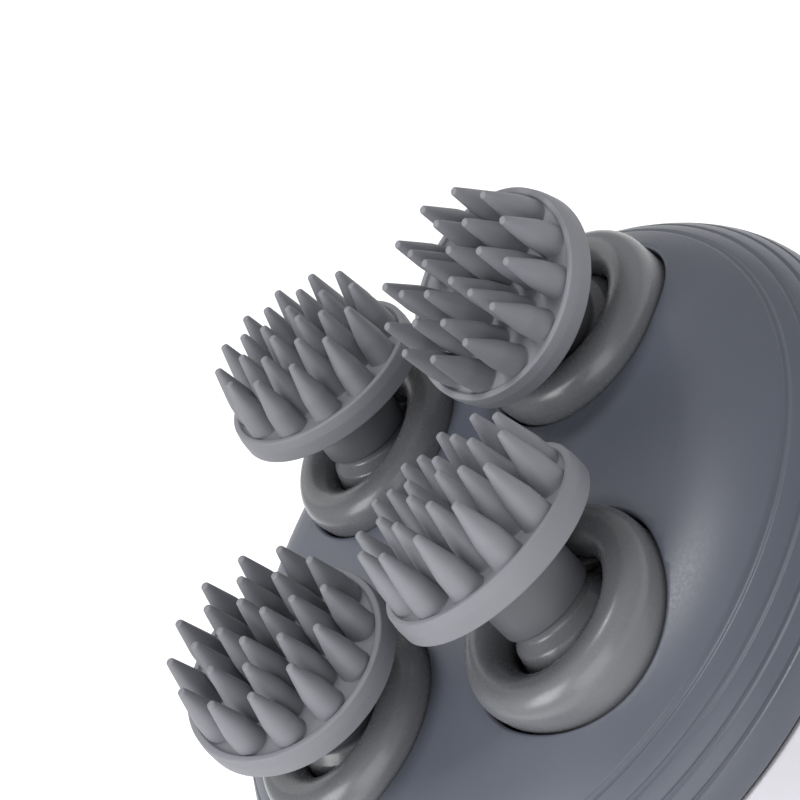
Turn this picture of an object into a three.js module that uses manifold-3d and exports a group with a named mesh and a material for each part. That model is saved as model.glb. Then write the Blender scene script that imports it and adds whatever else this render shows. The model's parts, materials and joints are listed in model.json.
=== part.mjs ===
// Handheld electric scalp massager with four kneading heads.
// Millimetres, +Z up. The massager stands on its base with the heads on top, and the origin is the
// middle of the base's underside. The power button faces -Y.
// A motor turns a centre gear, the centre gear turns four crank gears, and each crank gear carries a
// head on a leaning pin. A silicone boot round each stem keeps the head from spinning, so it kneads.

import * as THREE from 'three';
import { mergeVertices } from 'three/addons/utils/BufferGeometryUtils.js';
import Module from 'manifold-3d';

const wasm = await Module();
wasm.setup();

// Driving dimensions: layout of the heads
const HEAD_CIRCLE_R = 26;
const HEAD_SPREAD_DEG = 39;
const HEAD_TILT_DEG = 16;
const HEAD_LEAN_DEG = [311, 274, 1, 173];
const PIN_PHASE_DEG = [71.5, 39, 10.5, 76];
const PIVOT_Z = 72;

// Driving dimensions: pin pads
const PAD_R = 12.4;
const PAD_BAND = 0.35;
const PAD_TOP = 12.5;
const PAD_LIP_H = 0.5;
const PAD_LIP_W = 0.6;
const PAD_FLOOR_T = 1;
const PAD_SKIRT_T = 0.6;
const PAD_SKIRT_H = 1.6;
const PIN_BASE_R = 1.9;
const PIN_TIP_R = 0.65;
const PIN_SIDES = 6;
const OUTER_PINS_R = 9.7;
const OUTER_PINS_H = 7.3;
const MIDDLE_PINS_R = 6.15;
const MIDDLE_PINS_H = 7.9;
const INNER_PINS_R = 2.7;
const INNER_PINS_H = 8.2;
const PIN_RINGS = [
  { count: 12, radius: OUTER_PINS_R, height: OUTER_PINS_H, turnDeg: 0 },
  { count: 8, radius: MIDDLE_PINS_R, height: MIDDLE_PINS_H, turnDeg: 15 },
  { count: 4, radius: INNER_PINS_R, height: INNER_PINS_H, turnDeg: 60 },
];

// Driving dimensions: head hubs, bushes and screws
const STEM_R = 5.5;
const STEM_FOOT = 5.5;
const STEM_FLARE = 2;
const STEM_FLARE_BEND = 0.6;
const HUB_DISC_T = 1.3;
const HUB_WEB_T = 1.5;
const HUB_RECESS_D = 2.8;
const HUB_WEB_HOLE_R = 1.9;
const HUB_RECESS_R = 4.3;
const CRANK_PIN_R = 2.5;
const BUSH_WALL = 0.9;
const HEAD_SCREW_R = 1.2;
const HEAD_SCREW_HEAD_R = 3.3;
const HEAD_SCREW_CROWN_R = 2.3;
const HEAD_SCREW_HEAD_H = 1.5;
const HEAD_SCREW_LENGTH = 7;

// Driving dimensions: boots
const BOOT_RING_R = 9.5;
const BOOT_ROLL_R = 3.1;
const BOOT_NECK_WALL = 2.6;
const BOOT_NECK_R = 9.4;
const BOOT_FLANGE_W = 2;
const BOOT_FLANGE_T = 1.6;

// Driving dimensions: face shell
const FACE_MARGIN = 21.5;
const FACE_DROP = 1.3;
const FACE_WALL = 2.2;
const SHOULDER_W = 15.7;
const SHOULDER_H = 13;
const SHOULDER_POWER = 1.5;
const FACE_SKIRT_H = 1.4;
const OPENING_GAP = 1;
const COLLAR_WALL = 2;
const COLLAR_DROP = 8;
const GROOVE_COUNT = 4;
const FIRST_GROOVE_DROP = 5.4;
const GROOVE_PITCH = 1.75;
const GROOVE_W = 0.7;
const GROOVE_D = 0.45;

// Driving dimensions: grip shell, gasket and foot
const GASKET_T = 0.7;
const GASKET_INSET = 0.5;
const GRIP_WALL = 2.4;
const GRIP_FLOOR_T = 3.2;
const GRIP_BASE_R = 35.6;
const GRIP_WAIST_R = 35;
const GRIP_TOP_EASE = 0.2;
const GRIP_FOOT_ROUND = 1.8;
const GRIP_FOOT_SWELL = 0.2;
const GRIP_FLOOR_EDGE = 1;
const GRIP_RINGS = 10;
const SPIGOT_WALL = 2;
const FOOT_IN_R = 24.5;
const FOOT_W = 5.5;
const FOOT_H = 1.8;
const FOOT_PROUD = 0.6;

// Driving dimensions: gears and shafts
const SUN_TEETH = 20;
const CRANK_TEETH = 20;
const WHEEL_TEETH = 40;
const MOTOR_TEETH = 10;
const WHEEL_MODULE = 0.72;
const ADDENDUM = 1;
const DEDENDUM = 1.25;
const PRESSURE_DEG = 20;
const BACKLASH = 0.12;
const CRANK_GEAR_T = 5;
const WHEEL_T = 3.4;
const MOTOR_PINION_T = 3.4;
const CRANK_BOSS_R = 5;
const CRANK_JOURNAL_R = 3.5;
const CRANK_COLLAR_R = 6;
const SUN_AXLE_R = 1.5;
const MOTOR_SHAFT_R = 1;
const MOTOR_AZIMUTH_DEG = 90;
const MOTOR_SHAFT_DEPTH = 4;
const SHAFT_ROOM = 1;
const JOURNAL_RECESS = 2.25;

// Driving dimensions: gear plates, posts and housing screws
const PLATE_T = 2.5;
const PLATE_TOP_Z = 46.5;
const PLATE_EDGE_GAP = 0.8;
const BEARING_WALL = 2;
const BEARING_DEPTH = 6.5;
const COVER_T = 2;
const COVER_GAP = 2;
const AXLE_BOSS_R = 4.5;
const COVER_HOLE_R = 11;
const COVER_COLLAR_WALL = 3;
const POST_EDGE = 0.3;
const POST_R = 3.2;
const LEG_WALL = 1.6;
const BASE_POST_R = 3;
const BASE_BOSS_R = 4.6;
const BASE_BOSS_H = 8;
const SCREW_R = 1.1;
const SCREW_HEAD_R = 2.8;
const SCREW_HEAD_H = 1.8;
const SCREW_CROWN_R = 2.1;
const PLATE_SCREW_LENGTH = 9;
const BASE_SCREW_LENGTH = 13;

// Driving dimensions: motor, cell and electronics
const MOTOR_R = 12.2;
const MOTOR_LENGTH = 30;
const MOTOR_EDGE = 0.8;
const MOTOR_CAP_H = 2;
const MOTOR_CAP_INSET = 1;
const LUG_W = 3;
const LUG_T = 0.6;
const LUG_H = 3;
const LUG_INSET = 2;
const MOTOR_COLLAR_WALL = 1.4;
const MOTOR_COLLAR_H = 6;
const CELL_R = 9.2;
const CELL_LENGTH = 35;
const CELL_Y = -8;
const CELL_CAP_R = 3;
const CELL_CAP_H = 1.2;
const CUP_WALL = 1.4;
const CUP_H = 6;
const BOARD_W = 24;
const BOARD_T = 1.6;
const BOARD_Y = -23;
const RIB_T = 1.4;
const RIB_H = 4.2;
const SWITCH_W = 6;
const SWITCH_T = 3.5;
const PLUNGER_R = 1.7;
const PLUNGER_H = 1.1;
const CONTACT_R = 1.6;
const CONTACT_SPACING = 10;
const CONTACT_Y = 20;
const CONTACT_SINK = 0.4;

// Driving dimensions: power button
const BUTTON_Z = 19;
const BUTTON_R = 7;
const BUTTON_FLANGE = 1;
const BUTTON_FLANGE_T = 1.1;
const BUTTON_TRAVEL = 0.6;
const BUTTON_PROUD = 1.2;
const BUTTON_EDGE = 0.8;
const BUTTON_DISH = 0.4;
const LIGHT_RING_W = 1.2;
const BEZEL_W = 1.3;
const BEZEL_LIP = 1.2;
const BEZEL_LIP_T = 1.2;
const BEZEL_PROUD = 1;
const BEZEL_EDGE = 0.4;

// Clearances
const GAP = 0.3;
const SHAFT_GAP = 0.15;
const FIT = 0.1;

// Facets round each kind of turned piece, and along its curves
const SHELL_SIDES = 36;
const BOOT_SIDES = 18;
const HUB_SIDES = 14;
const SMALL_SIDES = 8;
const SHOULDER_STEPS = 3;
const ROLL_STEPS = 7;

const RAD = Math.PI / 180;

// How far a cut runs past a face, and how far a fused foot sinks into what carries it
const PAST = 1;

// Sizes that follow from the driving dimensions
const HEAD_DEG = [HEAD_SPREAD_DEG, 180 - HEAD_SPREAD_DEG, 180 + HEAD_SPREAD_DEG, 360 - HEAD_SPREAD_DEG];
const POST_DEG = [0, 90, 180, 270];
const FACE_R = HEAD_CIRCLE_R + FACE_MARGIN;
const FACE_TOP_Z = PIVOT_Z - FACE_DROP;
const FACE_BOTTOM_Z = FACE_TOP_Z - SHOULDER_H - FACE_SKIRT_H;
const FACE_INNER_R = FACE_R - FACE_WALL;
const CEILING_Z = FACE_TOP_Z - FACE_WALL;
const OPENING_R = BOOT_RING_R + BOOT_ROLL_R + OPENING_GAP;
const BOOT_FLANGE_R = OPENING_R + BOOT_FLANGE_W;
const COLLAR_BOTTOM_Z = FACE_TOP_Z - COLLAR_DROP;
const BOOT_FLANGE_TOP_Z = COLLAR_BOTTOM_Z - FIT;
const BOOT_BOTTOM_Z = BOOT_FLANGE_TOP_Z - BOOT_FLANGE_T;
const GRIP_TOP_Z = FACE_BOTTOM_Z - GASKET_T;
const GRIP_BOTTOM_Z = FOOT_PROUD;
const GRIP_FLOOR_Z = GRIP_BOTTOM_Z + GRIP_FLOOR_T;
const GRIP_TOP_R = FACE_R - GRIP_TOP_EASE;
const FOOT_SEAT_Z = FOOT_H + FIT;
const BASE_SCREW_Z = FOOT_SEAT_Z + SCREW_HEAD_H + 2 * GAP;
const DRIVE_MODULE = 2 * HEAD_CIRCLE_R / (SUN_TEETH + CRANK_TEETH);
const MOTOR_OFFSET = WHEEL_MODULE * (WHEEL_TEETH + MOTOR_TEETH) / 2;
const PLATE_BOTTOM_Z = PLATE_TOP_Z - PLATE_T;
const WHEEL_Z = PLATE_TOP_Z + GAP;
const CRANK_GEAR_Z = WHEEL_Z + WHEEL_T + 3 * GAP;
const CRANK_GEAR_TOP_Z = CRANK_GEAR_Z + CRANK_GEAR_T;
const COVER_Z = CRANK_GEAR_TOP_Z + COVER_GAP;
const COVER_TOP_Z = COVER_Z + COVER_T;
const PLATE_R = gripRadiusNear(PLATE_BOTTOM_Z) - GRIP_WALL - PLATE_EDGE_GAP;
const POST_CIRCLE_R = PLATE_R - POST_R - GAP - LEG_WALL - POST_EDGE;
const BEARING_BOTTOM_Z = PLATE_BOTTOM_Z - BEARING_DEPTH;
const BASE_POST_X = FOOT_IN_R + FOOT_W / 2;
const MOTOR_TOP_Z = PLATE_BOTTOM_Z - FIT;
const MOTOR_BOTTOM_Z = MOTOR_TOP_Z - MOTOR_LENGTH;
const MOTOR_CAP_R = MOTOR_R - MOTOR_CAP_INSET;
const LUG_OFFSET = MOTOR_CAP_R - LUG_INSET;
const BORE_R = CRANK_PIN_R + BUSH_WALL + 2 * GAP;
const DISC_TOP = PAD_TOP - PAD_LIP_H - PAD_FLOOR_T - GAP;
const DISC_BOTTOM = DISC_TOP - HUB_DISC_T;
const WEB_TOP = DISC_TOP - HUB_RECESS_D;
const WEB_BOTTOM = WEB_TOP - HUB_WEB_T;
const PIN_TOP = WEB_BOTTOM - GAP;
const BOSS_TOP = -STEM_FOOT - GAP;

// Materials, with the colours and finishes of the real pieces
function finish(color, roughness, metalness = 0) {
  return new THREE.MeshStandardMaterial({ color, roughness, metalness, flatShading: true });
}
const slateAbs = finish(0x6b6d75, 0.45);
const paleAbs = finish(0xd0cfd6, 0.45);
const bootSilicone = finish(0x7c7d82, 0.35);
const padSilicone = finish(0x87888e, 0.6);
const hubNylon = finish(0x7a7b81, 0.55);
const blackRubber = finish(0x1c1c1f, 0.7);
const acetal = finish(0xe9e6dc, 0.4);
const blackNylon = finish(0x2b2b2e, 0.6);
const steel = finish(0xb9bcc0, 0.3, 1);
const brass = finish(0xb9964f, 0.35, 1);
const gold = finish(0xd8b45c, 0.25, 1);
const cellWrap = finish(0x2f6fb0, 0.4);
const boardGreen = finish(0x1f5b3a, 0.5);
const milky = finish(0xf2f4f5, 0.3);

// Closed solids from three.js geometry
function closedMesh(geometry) {
  const bare = geometry.clone();
  bare.deleteAttribute('normal');
  bare.deleteAttribute('uv');
  const merged = mergeVertices(bare, 1e-4);
  const from = merged.getIndex().array;
  const position = merged.getAttribute('position');
  const corners = [];
  for (let i = 0; i < from.length; i += 3) {
    const [a, b, c] = [from[i], from[i + 1], from[i + 2]];
    if (a !== b && b !== c && c !== a) corners.push(a, b, c);
  }
  if (signedVolume(position, corners) < 0) corners.reverse();
  return { vertices: new Float32Array(position.array), corners: new Uint32Array(corners) };
}

function signedVolume(position, corners) {
  const [a, b, c] = [new THREE.Vector3(), new THREE.Vector3(), new THREE.Vector3()];
  let volume = 0;
  for (let i = 0; i < corners.length; i += 3) {
    a.fromBufferAttribute(position, corners[i]);
    b.fromBufferAttribute(position, corners[i + 1]);
    c.fromBufferAttribute(position, corners[i + 2]);
    volume += a.dot(b.cross(c)) / 6;
  }
  return volume;
}

function solid(geometry) {
  const { vertices, corners } = closedMesh(geometry);
  return new wasm.Manifold(new wasm.Mesh({ numProp: 3, vertProperties: vertices, triVerts: corners }));
}

function fuse(first, ...others) {
  return others.reduce((whole, piece) => whole.add(piece), first);
}

function cut(first, ...tools) {
  return tools.reduce((whole, tool) => whole.subtract(tool), first);
}

function geometryOf(shape) {
  const mesh = shape.getMesh();
  const geometry = new THREE.BufferGeometry();
  geometry.setAttribute('position', new THREE.BufferAttribute(mesh.vertProperties, 3));
  geometry.setIndex(new THREE.BufferAttribute(mesh.triVerts, 1));
  geometry.computeVertexNormals();
  return geometry;
}

function named(name, shape, material) {
  const mesh = new THREE.Mesh(geometryOf(shape), material);
  mesh.name = name;
  return mesh;
}

// A turned piece: profile points are [radius, z], on a loop that closes on itself or on the axis
function turned(profile, sides) {
  const points = profile.map(([r, z]) => new THREE.Vector2(r, z));
  return solid(new THREE.LatheGeometry(points, sides).rotateX(Math.PI / 2));
}

function ringProfile(inner, outer, z0, z1) {
  return [[inner, z0], [outer, z0], [outer, z1], [inner, z1], [inner, z0]];
}

function tube(inner, outer, z0, z1, sides) {
  return turned(ringProfile(inner, outer, z0, z1), sides);
}

function rod(radius, z0, z1, sides) {
  return turned([[0, z0], [radius, z0], [radius, z1], [0, z1]], sides);
}

function block(width, depth, z0, z1) {
  return solid(new THREE.BoxGeometry(width, depth, z1 - z0).translate(0, 0, (z0 + z1) / 2));
}

function slab(shape, z0, z1, curveSegments) {
  const settings = { depth: z1 - z0, bevelEnabled: false, curveSegments };
  return solid(new THREE.ExtrudeGeometry(shape, settings).translate(0, 0, z0));
}

function polar(radius, degrees) {
  return [radius * Math.cos(degrees * RAD), radius * Math.sin(degrees * RAD)];
}

function at(shape, x, y, z = 0) {
  return shape.translate([x, y, z]);
}

// Where a driven gear's tooth lies, so that it meshes with a driving gear whose own tooth lies at
// drivingPhase; azimuth is the direction from the driving gear's centre to the driven one's
function meshPhase(azimuth, drivingTeeth, drivingPhase, drivenTeeth) {
  const pastTooth = (azimuth - drivingPhase) * drivingTeeth / 360;
  return azimuth + 180 + (pastTooth + 0.5) * 360 / drivenTeeth;
}

// Spur gear outline: each flank runs straight from root to tip, inside its involute
function involute(angle) {
  return Math.tan(angle) - angle;
}

function gearOutline(teeth, module, phaseDeg) {
  const pitchR = teeth * module / 2;
  const baseR = pitchR * Math.cos(PRESSURE_DEG * RAD);
  const tipR = pitchR + ADDENDUM * module;
  const rootR = pitchR - DEDENDUM * module;
  const halfAt = (r) => {
    const lean = Math.acos(Math.min(1, baseR / r));
    return Math.PI / (2 * teeth) - BACKLASH / (2 * pitchR) + involute(PRESSURE_DEG * RAD) - involute(lean);
  };
  const shape = new THREE.Shape();
  for (let i = 0; i < teeth; i++) {
    const middle = phaseDeg * RAD + i * 2 * Math.PI / teeth;
    const [atRoot, atTip] = [halfAt(rootR), halfAt(tipR)];
    const corners = [[rootR, -atRoot], [tipR, -atTip], [tipR, atTip], [rootR, atRoot]];
    for (const [r, turn] of corners) {
      const [x, y] = [r * Math.cos(middle + turn), r * Math.sin(middle + turn)];
      if (i === 0 && turn === corners[0][1]) shape.moveTo(x, y);
      else shape.lineTo(x, y);
    }
  }
  shape.closePath();
  return shape;
}

function gear(teeth, module, phaseDeg, z0, z1) {
  return slab(gearOutline(teeth, module, phaseDeg), z0, z1, 1);
}

// Face shell: flat face, soft shoulder with grooves round it, four collared openings, four posts
function shoulderRadius(drop, outerR, width, height) {
  if (drop >= height) return outerR;
  const rise = 1 - drop / height;
  return outerR - width * (1 - (1 - rise ** SHOULDER_POWER) ** (1 / SHOULDER_POWER));
}

function facePoint(drop) {
  return [shoulderRadius(drop, FACE_R, SHOULDER_W, SHOULDER_H), FACE_TOP_Z - drop];
}

function faceOuterProfile() {
  const profile = [[0, FACE_TOP_Z], [FACE_R - SHOULDER_W, FACE_TOP_Z]];
  const lastSmooth = FIRST_GROOVE_DROP - GROOVE_W;
  for (let i = 1; i <= SHOULDER_STEPS; i++) {
    profile.push(facePoint(lastSmooth * (i / SHOULDER_STEPS) ** 2));
  }
  for (let i = 0; i < GROOVE_COUNT; i++) {
    const drop = FIRST_GROOVE_DROP + i * GROOVE_PITCH;
    const [r, z] = facePoint(drop);
    profile.push(facePoint(drop - GROOVE_W / 2), [r - GROOVE_D, z], facePoint(drop + GROOVE_W / 2));
  }
  profile.push([FACE_R, FACE_BOTTOM_Z]);
  return profile;
}

function faceInnerProfile() {
  const [width, height] = [SHOULDER_W - FACE_WALL, SHOULDER_H - FACE_WALL];
  const profile = [[FACE_INNER_R, FACE_BOTTOM_Z]];
  for (let i = SHOULDER_STEPS; i >= 0; i--) {
    const drop = height * (i / SHOULDER_STEPS) ** 1.5;
    profile.push([shoulderRadius(drop, FACE_INNER_R, width, height), CEILING_Z - drop]);
  }
  profile.push([0, CEILING_Z]);
  return profile;
}

function faceShell() {
  let shell = turned([...faceOuterProfile(), ...faceInnerProfile()], SHELL_SIDES);
  const envelope = turned([...faceOuterProfile(), [FACE_R, PLATE_TOP_Z], [0, PLATE_TOP_Z]], SHELL_SIDES);
  for (let i = 0; i < HEAD_DEG.length; i++) {
    const [x, y] = polar(HEAD_CIRCLE_R, HEAD_DEG[i]);
    const collar = rod(OPENING_R + COLLAR_WALL, COLLAR_BOTTOM_Z, FACE_TOP_Z, BOOT_SIDES);
    shell = shell.add(at(collar, x, y).intersect(envelope));
  }
  for (let i = 0; i < HEAD_DEG.length; i++) {
    const [x, y] = polar(HEAD_CIRCLE_R, HEAD_DEG[i]);
    const opening = rod(OPENING_R, COLLAR_BOTTOM_Z - PAST, FACE_TOP_Z + PAST, BOOT_SIDES);
    shell = shell.subtract(at(opening, x, y));
  }
  const halfWallDown = at(envelope, 0, 0, -FACE_WALL / 2);
  for (let i = 0; i < HEAD_DEG.length; i++) {
    const [x, y] = polar(POST_CIRCLE_R, POST_DEG[i]);
    const post = at(rod(POST_R, PLATE_TOP_Z + FIT, FACE_TOP_Z, SMALL_SIDES), x, y).intersect(halfWallDown);
    const hole = rod(SCREW_R + GAP, PLATE_TOP_Z, PLATE_TOP_Z + PLATE_SCREW_LENGTH, SMALL_SIDES);
    shell = shell.add(post).subtract(at(hole, x, y));
  }
  return shell;
}

// Gasket and grip shell
function seamGasket() {
  return tube(FACE_INNER_R, FACE_R - GASKET_INSET, GRIP_TOP_Z + FIT, FACE_BOTTOM_Z - FIT, SHELL_SIDES);
}

// The grip's outline, from its rounded foot past the waist to the flare under the face; the heights
// and the parts of the flare are given as shares
function gripCurve() {
  const span = GRIP_TOP_Z - GRIP_BOTTOM_Z;
  const flare = GRIP_TOP_R - GRIP_WAIST_R;
  const heightAt = (share) => GRIP_BOTTOM_Z + span * share;
  return new THREE.SplineCurve([
    new THREE.Vector2(GRIP_BASE_R - GRIP_FOOT_ROUND, heightAt(0)),
    new THREE.Vector2(GRIP_BASE_R - GRIP_FOOT_SWELL, heightAt(0.03)),
    new THREE.Vector2(GRIP_BASE_R + GRIP_FOOT_SWELL, heightAt(0.1)),
    new THREE.Vector2(GRIP_WAIST_R, heightAt(0.34)),
    new THREE.Vector2(GRIP_WAIST_R + flare * 0.12, heightAt(0.55)),
    new THREE.Vector2(GRIP_WAIST_R + flare * 0.55, heightAt(0.72)),
    new THREE.Vector2(GRIP_WAIST_R + flare * 0.9, heightAt(0.87)),
    new THREE.Vector2(GRIP_TOP_R, heightAt(1)),
  ]);
}

function gripProfile() {
  const outer = gripCurve().getPoints(GRIP_RINGS).map((p) => [p.x, p.y]);
  const inner = outer.filter(([, z], i) => i % 2 === 0 && z > GRIP_FLOOR_Z + GRIP_FLOOR_EDGE)
    .map(([r, z]) => [r - GRIP_WALL, z]).reverse();
  const spigotOut = FACE_INNER_R - GAP;
  const spigotTop = FACE_BOTTOM_Z + FACE_SKIRT_H;
  const rim = inner.shift()[0];
  const floorR = inner[inner.length - 1][0];
  return [
    [0, GRIP_BOTTOM_Z], ...outer,
    [spigotOut, GRIP_TOP_Z], [spigotOut, spigotTop], [spigotOut - SPIGOT_WALL, spigotTop],
    [Math.min(rim, spigotOut - SPIGOT_WALL), GRIP_TOP_Z - GRIP_WALL],
    ...inner, [floorR - GRIP_FLOOR_EDGE, GRIP_FLOOR_Z], [0, GRIP_FLOOR_Z],
  ];
}

// A rod along Y, whose two ends are given as distances in front of the main axis
function frontRod(radius, near, far, z, sides) {
  return rod(radius, near, far, sides).rotate([90, 0, 0]).translate([0, 0, z]);
}

function frontTurned(profile, z, sides) {
  return turned(profile, sides).rotate([90, 0, 0]).translate([0, 0, z]);
}

function gripRadiusNear(z) {
  const points = gripCurve().getPoints(6 * GRIP_RINGS);
  return points.reduce((best, p) => (Math.abs(p.y - z) < Math.abs(best.y - z) ? p : best)).x;
}

// Stations of the button group, as distances in front of the main axis
const WALL_FRONT = gripRadiusNear(BUTTON_Z);
const LIGHT_RING_R = BUTTON_R + GAP + LIGHT_RING_W;
const BEZEL_IN_R = LIGHT_RING_R + GAP;
const BEZEL_R = BEZEL_IN_R + BEZEL_W;
const BEZEL_LIP_R = BEZEL_R + BEZEL_LIP;
const LIP_FRONT = Math.sqrt((GRIP_WAIST_R - GRIP_WALL) ** 2 - BEZEL_LIP_R ** 2) - GAP;
const BUTTON_BACK = -BOARD_Y + BOARD_T / 2 + SWITCH_T + PLUNGER_H + BUTTON_TRAVEL + GAP;

function gripShell() {
  let shell = turned(gripProfile(), SHELL_SIDES);
  shell = shell.subtract(tube(FOOT_IN_R - GAP, FOOT_IN_R + FOOT_W + GAP, -PAST, FOOT_SEAT_Z, SHELL_SIDES));
  const cupR = CELL_R + GAP;
  const cellCup = tube(cupR, cupR + CUP_WALL, GRIP_FLOOR_Z - PAST, GRIP_FLOOR_Z + CUP_H, HUB_SIDES);
  shell = shell.add(at(cellCup, 0, CELL_Y));
  for (const side of [-1, 1]) {
    const ribY = BOARD_Y + side * (BOARD_T / 2 + GAP + RIB_T / 2);
    shell = shell.add(at(block(BOARD_W, RIB_T, GRIP_FLOOR_Z - PAST, GRIP_FLOOR_Z + RIB_H), 0, ribY));
    const bossX = side * BASE_POST_X;
    shell = shell.add(at(rod(BASE_BOSS_R, FOOT_SEAT_Z, BASE_BOSS_H, SMALL_SIDES), bossX, 0));
    shell = shell.subtract(at(rod(SCREW_HEAD_R + GAP, FOOT_SEAT_Z - PAST, BASE_SCREW_Z, SMALL_SIDES), bossX, 0));
    shell = shell.subtract(at(rod(SCREW_R + GAP, FOOT_SEAT_Z, BASE_BOSS_H + PAST, SMALL_SIDES), bossX, 0));
    const contactHole = rod(CONTACT_R + GAP, -PAST, GRIP_FLOOR_Z + PAST, SMALL_SIDES);
    shell = shell.subtract(at(contactHole, side * CONTACT_SPACING / 2, CONTACT_Y));
  }
  return shell.subtract(frontRod(BEZEL_R + GAP, LIP_FRONT - BEZEL_LIP_T, FACE_R, BUTTON_Z, BOOT_SIDES));
}

function footRing() {
  return tube(FOOT_IN_R, FOOT_IN_R + FOOT_W, 0, FOOT_H, SHELL_SIDES);
}

function chargeContact() {
  const flangeZ = GRIP_FLOOR_Z + FIT;
  const flangeTop = flangeZ + CONTACT_SINK;
  const flangeR = CONTACT_R + 2 * GAP + FIT;
  return turned([
    [0, CONTACT_SINK + GRIP_BOTTOM_Z], [CONTACT_R, CONTACT_SINK + GRIP_BOTTOM_Z], [CONTACT_R, flangeZ],
    [flangeR, flangeZ], [flangeR, flangeTop], [0, flangeTop],
  ], SMALL_SIDES);
}

// Boot: a rolled ring over a neck, with a flange clamped under the face shell's collar
function boot() {
  const lowAngle = (r) => Math.acos((r - BOOT_RING_R) / BOOT_ROLL_R);
  const from = -lowAngle(BOOT_NECK_R + BOOT_NECK_WALL);
  const to = 2 * Math.PI - lowAngle(BOOT_NECK_R);
  const roll = [];
  for (let i = 0; i <= ROLL_STEPS; i++) {
    const turn = from + (to - from) * i / ROLL_STEPS;
    roll.push([BOOT_RING_R + BOOT_ROLL_R * Math.cos(turn), PIVOT_Z + BOOT_ROLL_R * Math.sin(turn)]);
  }
  const neckOut = BOOT_NECK_R + BOOT_NECK_WALL;
  return turned([
    [BOOT_NECK_R, BOOT_BOTTOM_Z], [BOOT_FLANGE_R, BOOT_BOTTOM_Z], [BOOT_FLANGE_R, BOOT_FLANGE_TOP_Z],
    [neckOut, BOOT_FLANGE_TOP_Z], ...roll, [BOOT_NECK_R, BOOT_BOTTOM_Z],
  ], BOOT_SIDES);
}

// Pin pad: dished silicone disc with a raised lip, a skirt over the hub's disc and rings of cones
function padPin(height) {
  const foot = PAD_TOP - PAD_LIP_H - PAD_FLOOR_T / 2;
  const tip = PAD_TOP + height;
  return turned([[0, foot], [PIN_BASE_R, foot], [PIN_TIP_R, tip - PIN_TIP_R], [0, tip]], PIN_SIDES);
}

function pinPad(phaseDeg) {
  const floor = PAD_TOP - PAD_LIP_H;
  const under = floor - PAD_FLOOR_T;
  const bandR = PAD_R + PAD_BAND;
  let pad = turned([
    [bandR - PAD_SKIRT_T, under - PAD_SKIRT_H], [bandR, under - PAD_SKIRT_H], [bandR, under],
    [PAD_R, floor - PAD_LIP_H], [PAD_R, PAD_TOP], [PAD_R - PAD_LIP_W, PAD_TOP], [PAD_R - PAD_LIP_W, floor],
    [0, floor], [0, under], [bandR - PAD_SKIRT_T, under], [bandR - PAD_SKIRT_T, under - PAD_SKIRT_H],
  ], BOOT_SIDES);
  for (const ring of PIN_RINGS) {
    for (let i = 0; i < ring.count; i++) {
      const [x, y] = polar(ring.radius, phaseDeg + ring.turnDeg + i * 360 / ring.count);
      pad = pad.add(at(padPin(ring.height), x, y));
    }
  }
  return pad;
}

// Head hub: stem with a blind bearing bore, flaring into the disc under the pad
function headHub() {
  const discR = PAD_R + PAD_BAND - PAD_SKIRT_T - GAP;
  return turned([
    [BORE_R, -STEM_FOOT], [STEM_R, -STEM_FOOT],
    [STEM_R, DISC_BOTTOM - STEM_FLARE], [STEM_R + STEM_FLARE_BEND, DISC_BOTTOM - STEM_FLARE_BEND],
    [STEM_R + STEM_FLARE, DISC_BOTTOM], [discR, DISC_BOTTOM], [discR, DISC_TOP],
    [HUB_RECESS_R, DISC_TOP], [HUB_RECESS_R, WEB_TOP], [HUB_WEB_HOLE_R, WEB_TOP],
    [HUB_WEB_HOLE_R, WEB_BOTTOM], [BORE_R, WEB_BOTTOM], [BORE_R, -STEM_FOOT],
  ], HUB_SIDES);
}

function headBush() {
  return tube(CRANK_PIN_R + GAP, CRANK_PIN_R + GAP + BUSH_WALL, -STEM_FOOT, PIN_TOP, SMALL_SIDES);
}

function headScrew() {
  const seat = WEB_TOP + GAP;
  return turned([
    [0, seat - HEAD_SCREW_LENGTH], [HEAD_SCREW_R, seat - HEAD_SCREW_LENGTH], [HEAD_SCREW_R, seat],
    [HEAD_SCREW_HEAD_R, seat], [HEAD_SCREW_HEAD_R, seat + HEAD_SCREW_HEAD_H / 2],
    [HEAD_SCREW_CROWN_R, seat + HEAD_SCREW_HEAD_H], [0, seat + HEAD_SCREW_HEAD_H],
  ], SMALL_SIDES);
}

// Crank gear, in the frame of its own axis with the pin leaning along +X
function crankGear(phaseDeg) {
  const leaning = (shape) => shape.rotate([0, HEAD_TILT_DEG, 0]).translate([0, 0, PIVOT_Z]);
  const rootDepth = (PIVOT_Z - CRANK_GEAR_Z - CRANK_GEAR_T / 2) / Math.cos(HEAD_TILT_DEG * RAD);
  const wheel = gear(CRANK_TEETH, DRIVE_MODULE, phaseDeg, CRANK_GEAR_Z, CRANK_GEAR_TOP_Z);
  const collar = rod(CRANK_COLLAR_R, PLATE_TOP_Z + GAP, CRANK_GEAR_Z + PAST, SMALL_SIDES);
  const journalZ = BEARING_BOTTOM_Z + JOURNAL_RECESS;
  const journal = rod(CRANK_JOURNAL_R, journalZ, PLATE_TOP_Z + PAST, HUB_SIDES);
  const boss = leaning(rod(CRANK_BOSS_R, -rootDepth, BOSS_TOP, HUB_SIDES));
  const pin = leaning(rod(CRANK_PIN_R, BOSS_TOP - PAST, PIN_TOP, SMALL_SIDES));
  const holeBottom = WEB_TOP - HEAD_SCREW_LENGTH;
  const hole = leaning(rod(HEAD_SCREW_R + GAP, holeBottom, PIN_TOP + PAST, SMALL_SIDES));
  return cut(fuse(wheel, collar, journal, boss, pin), hole);
}

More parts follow.
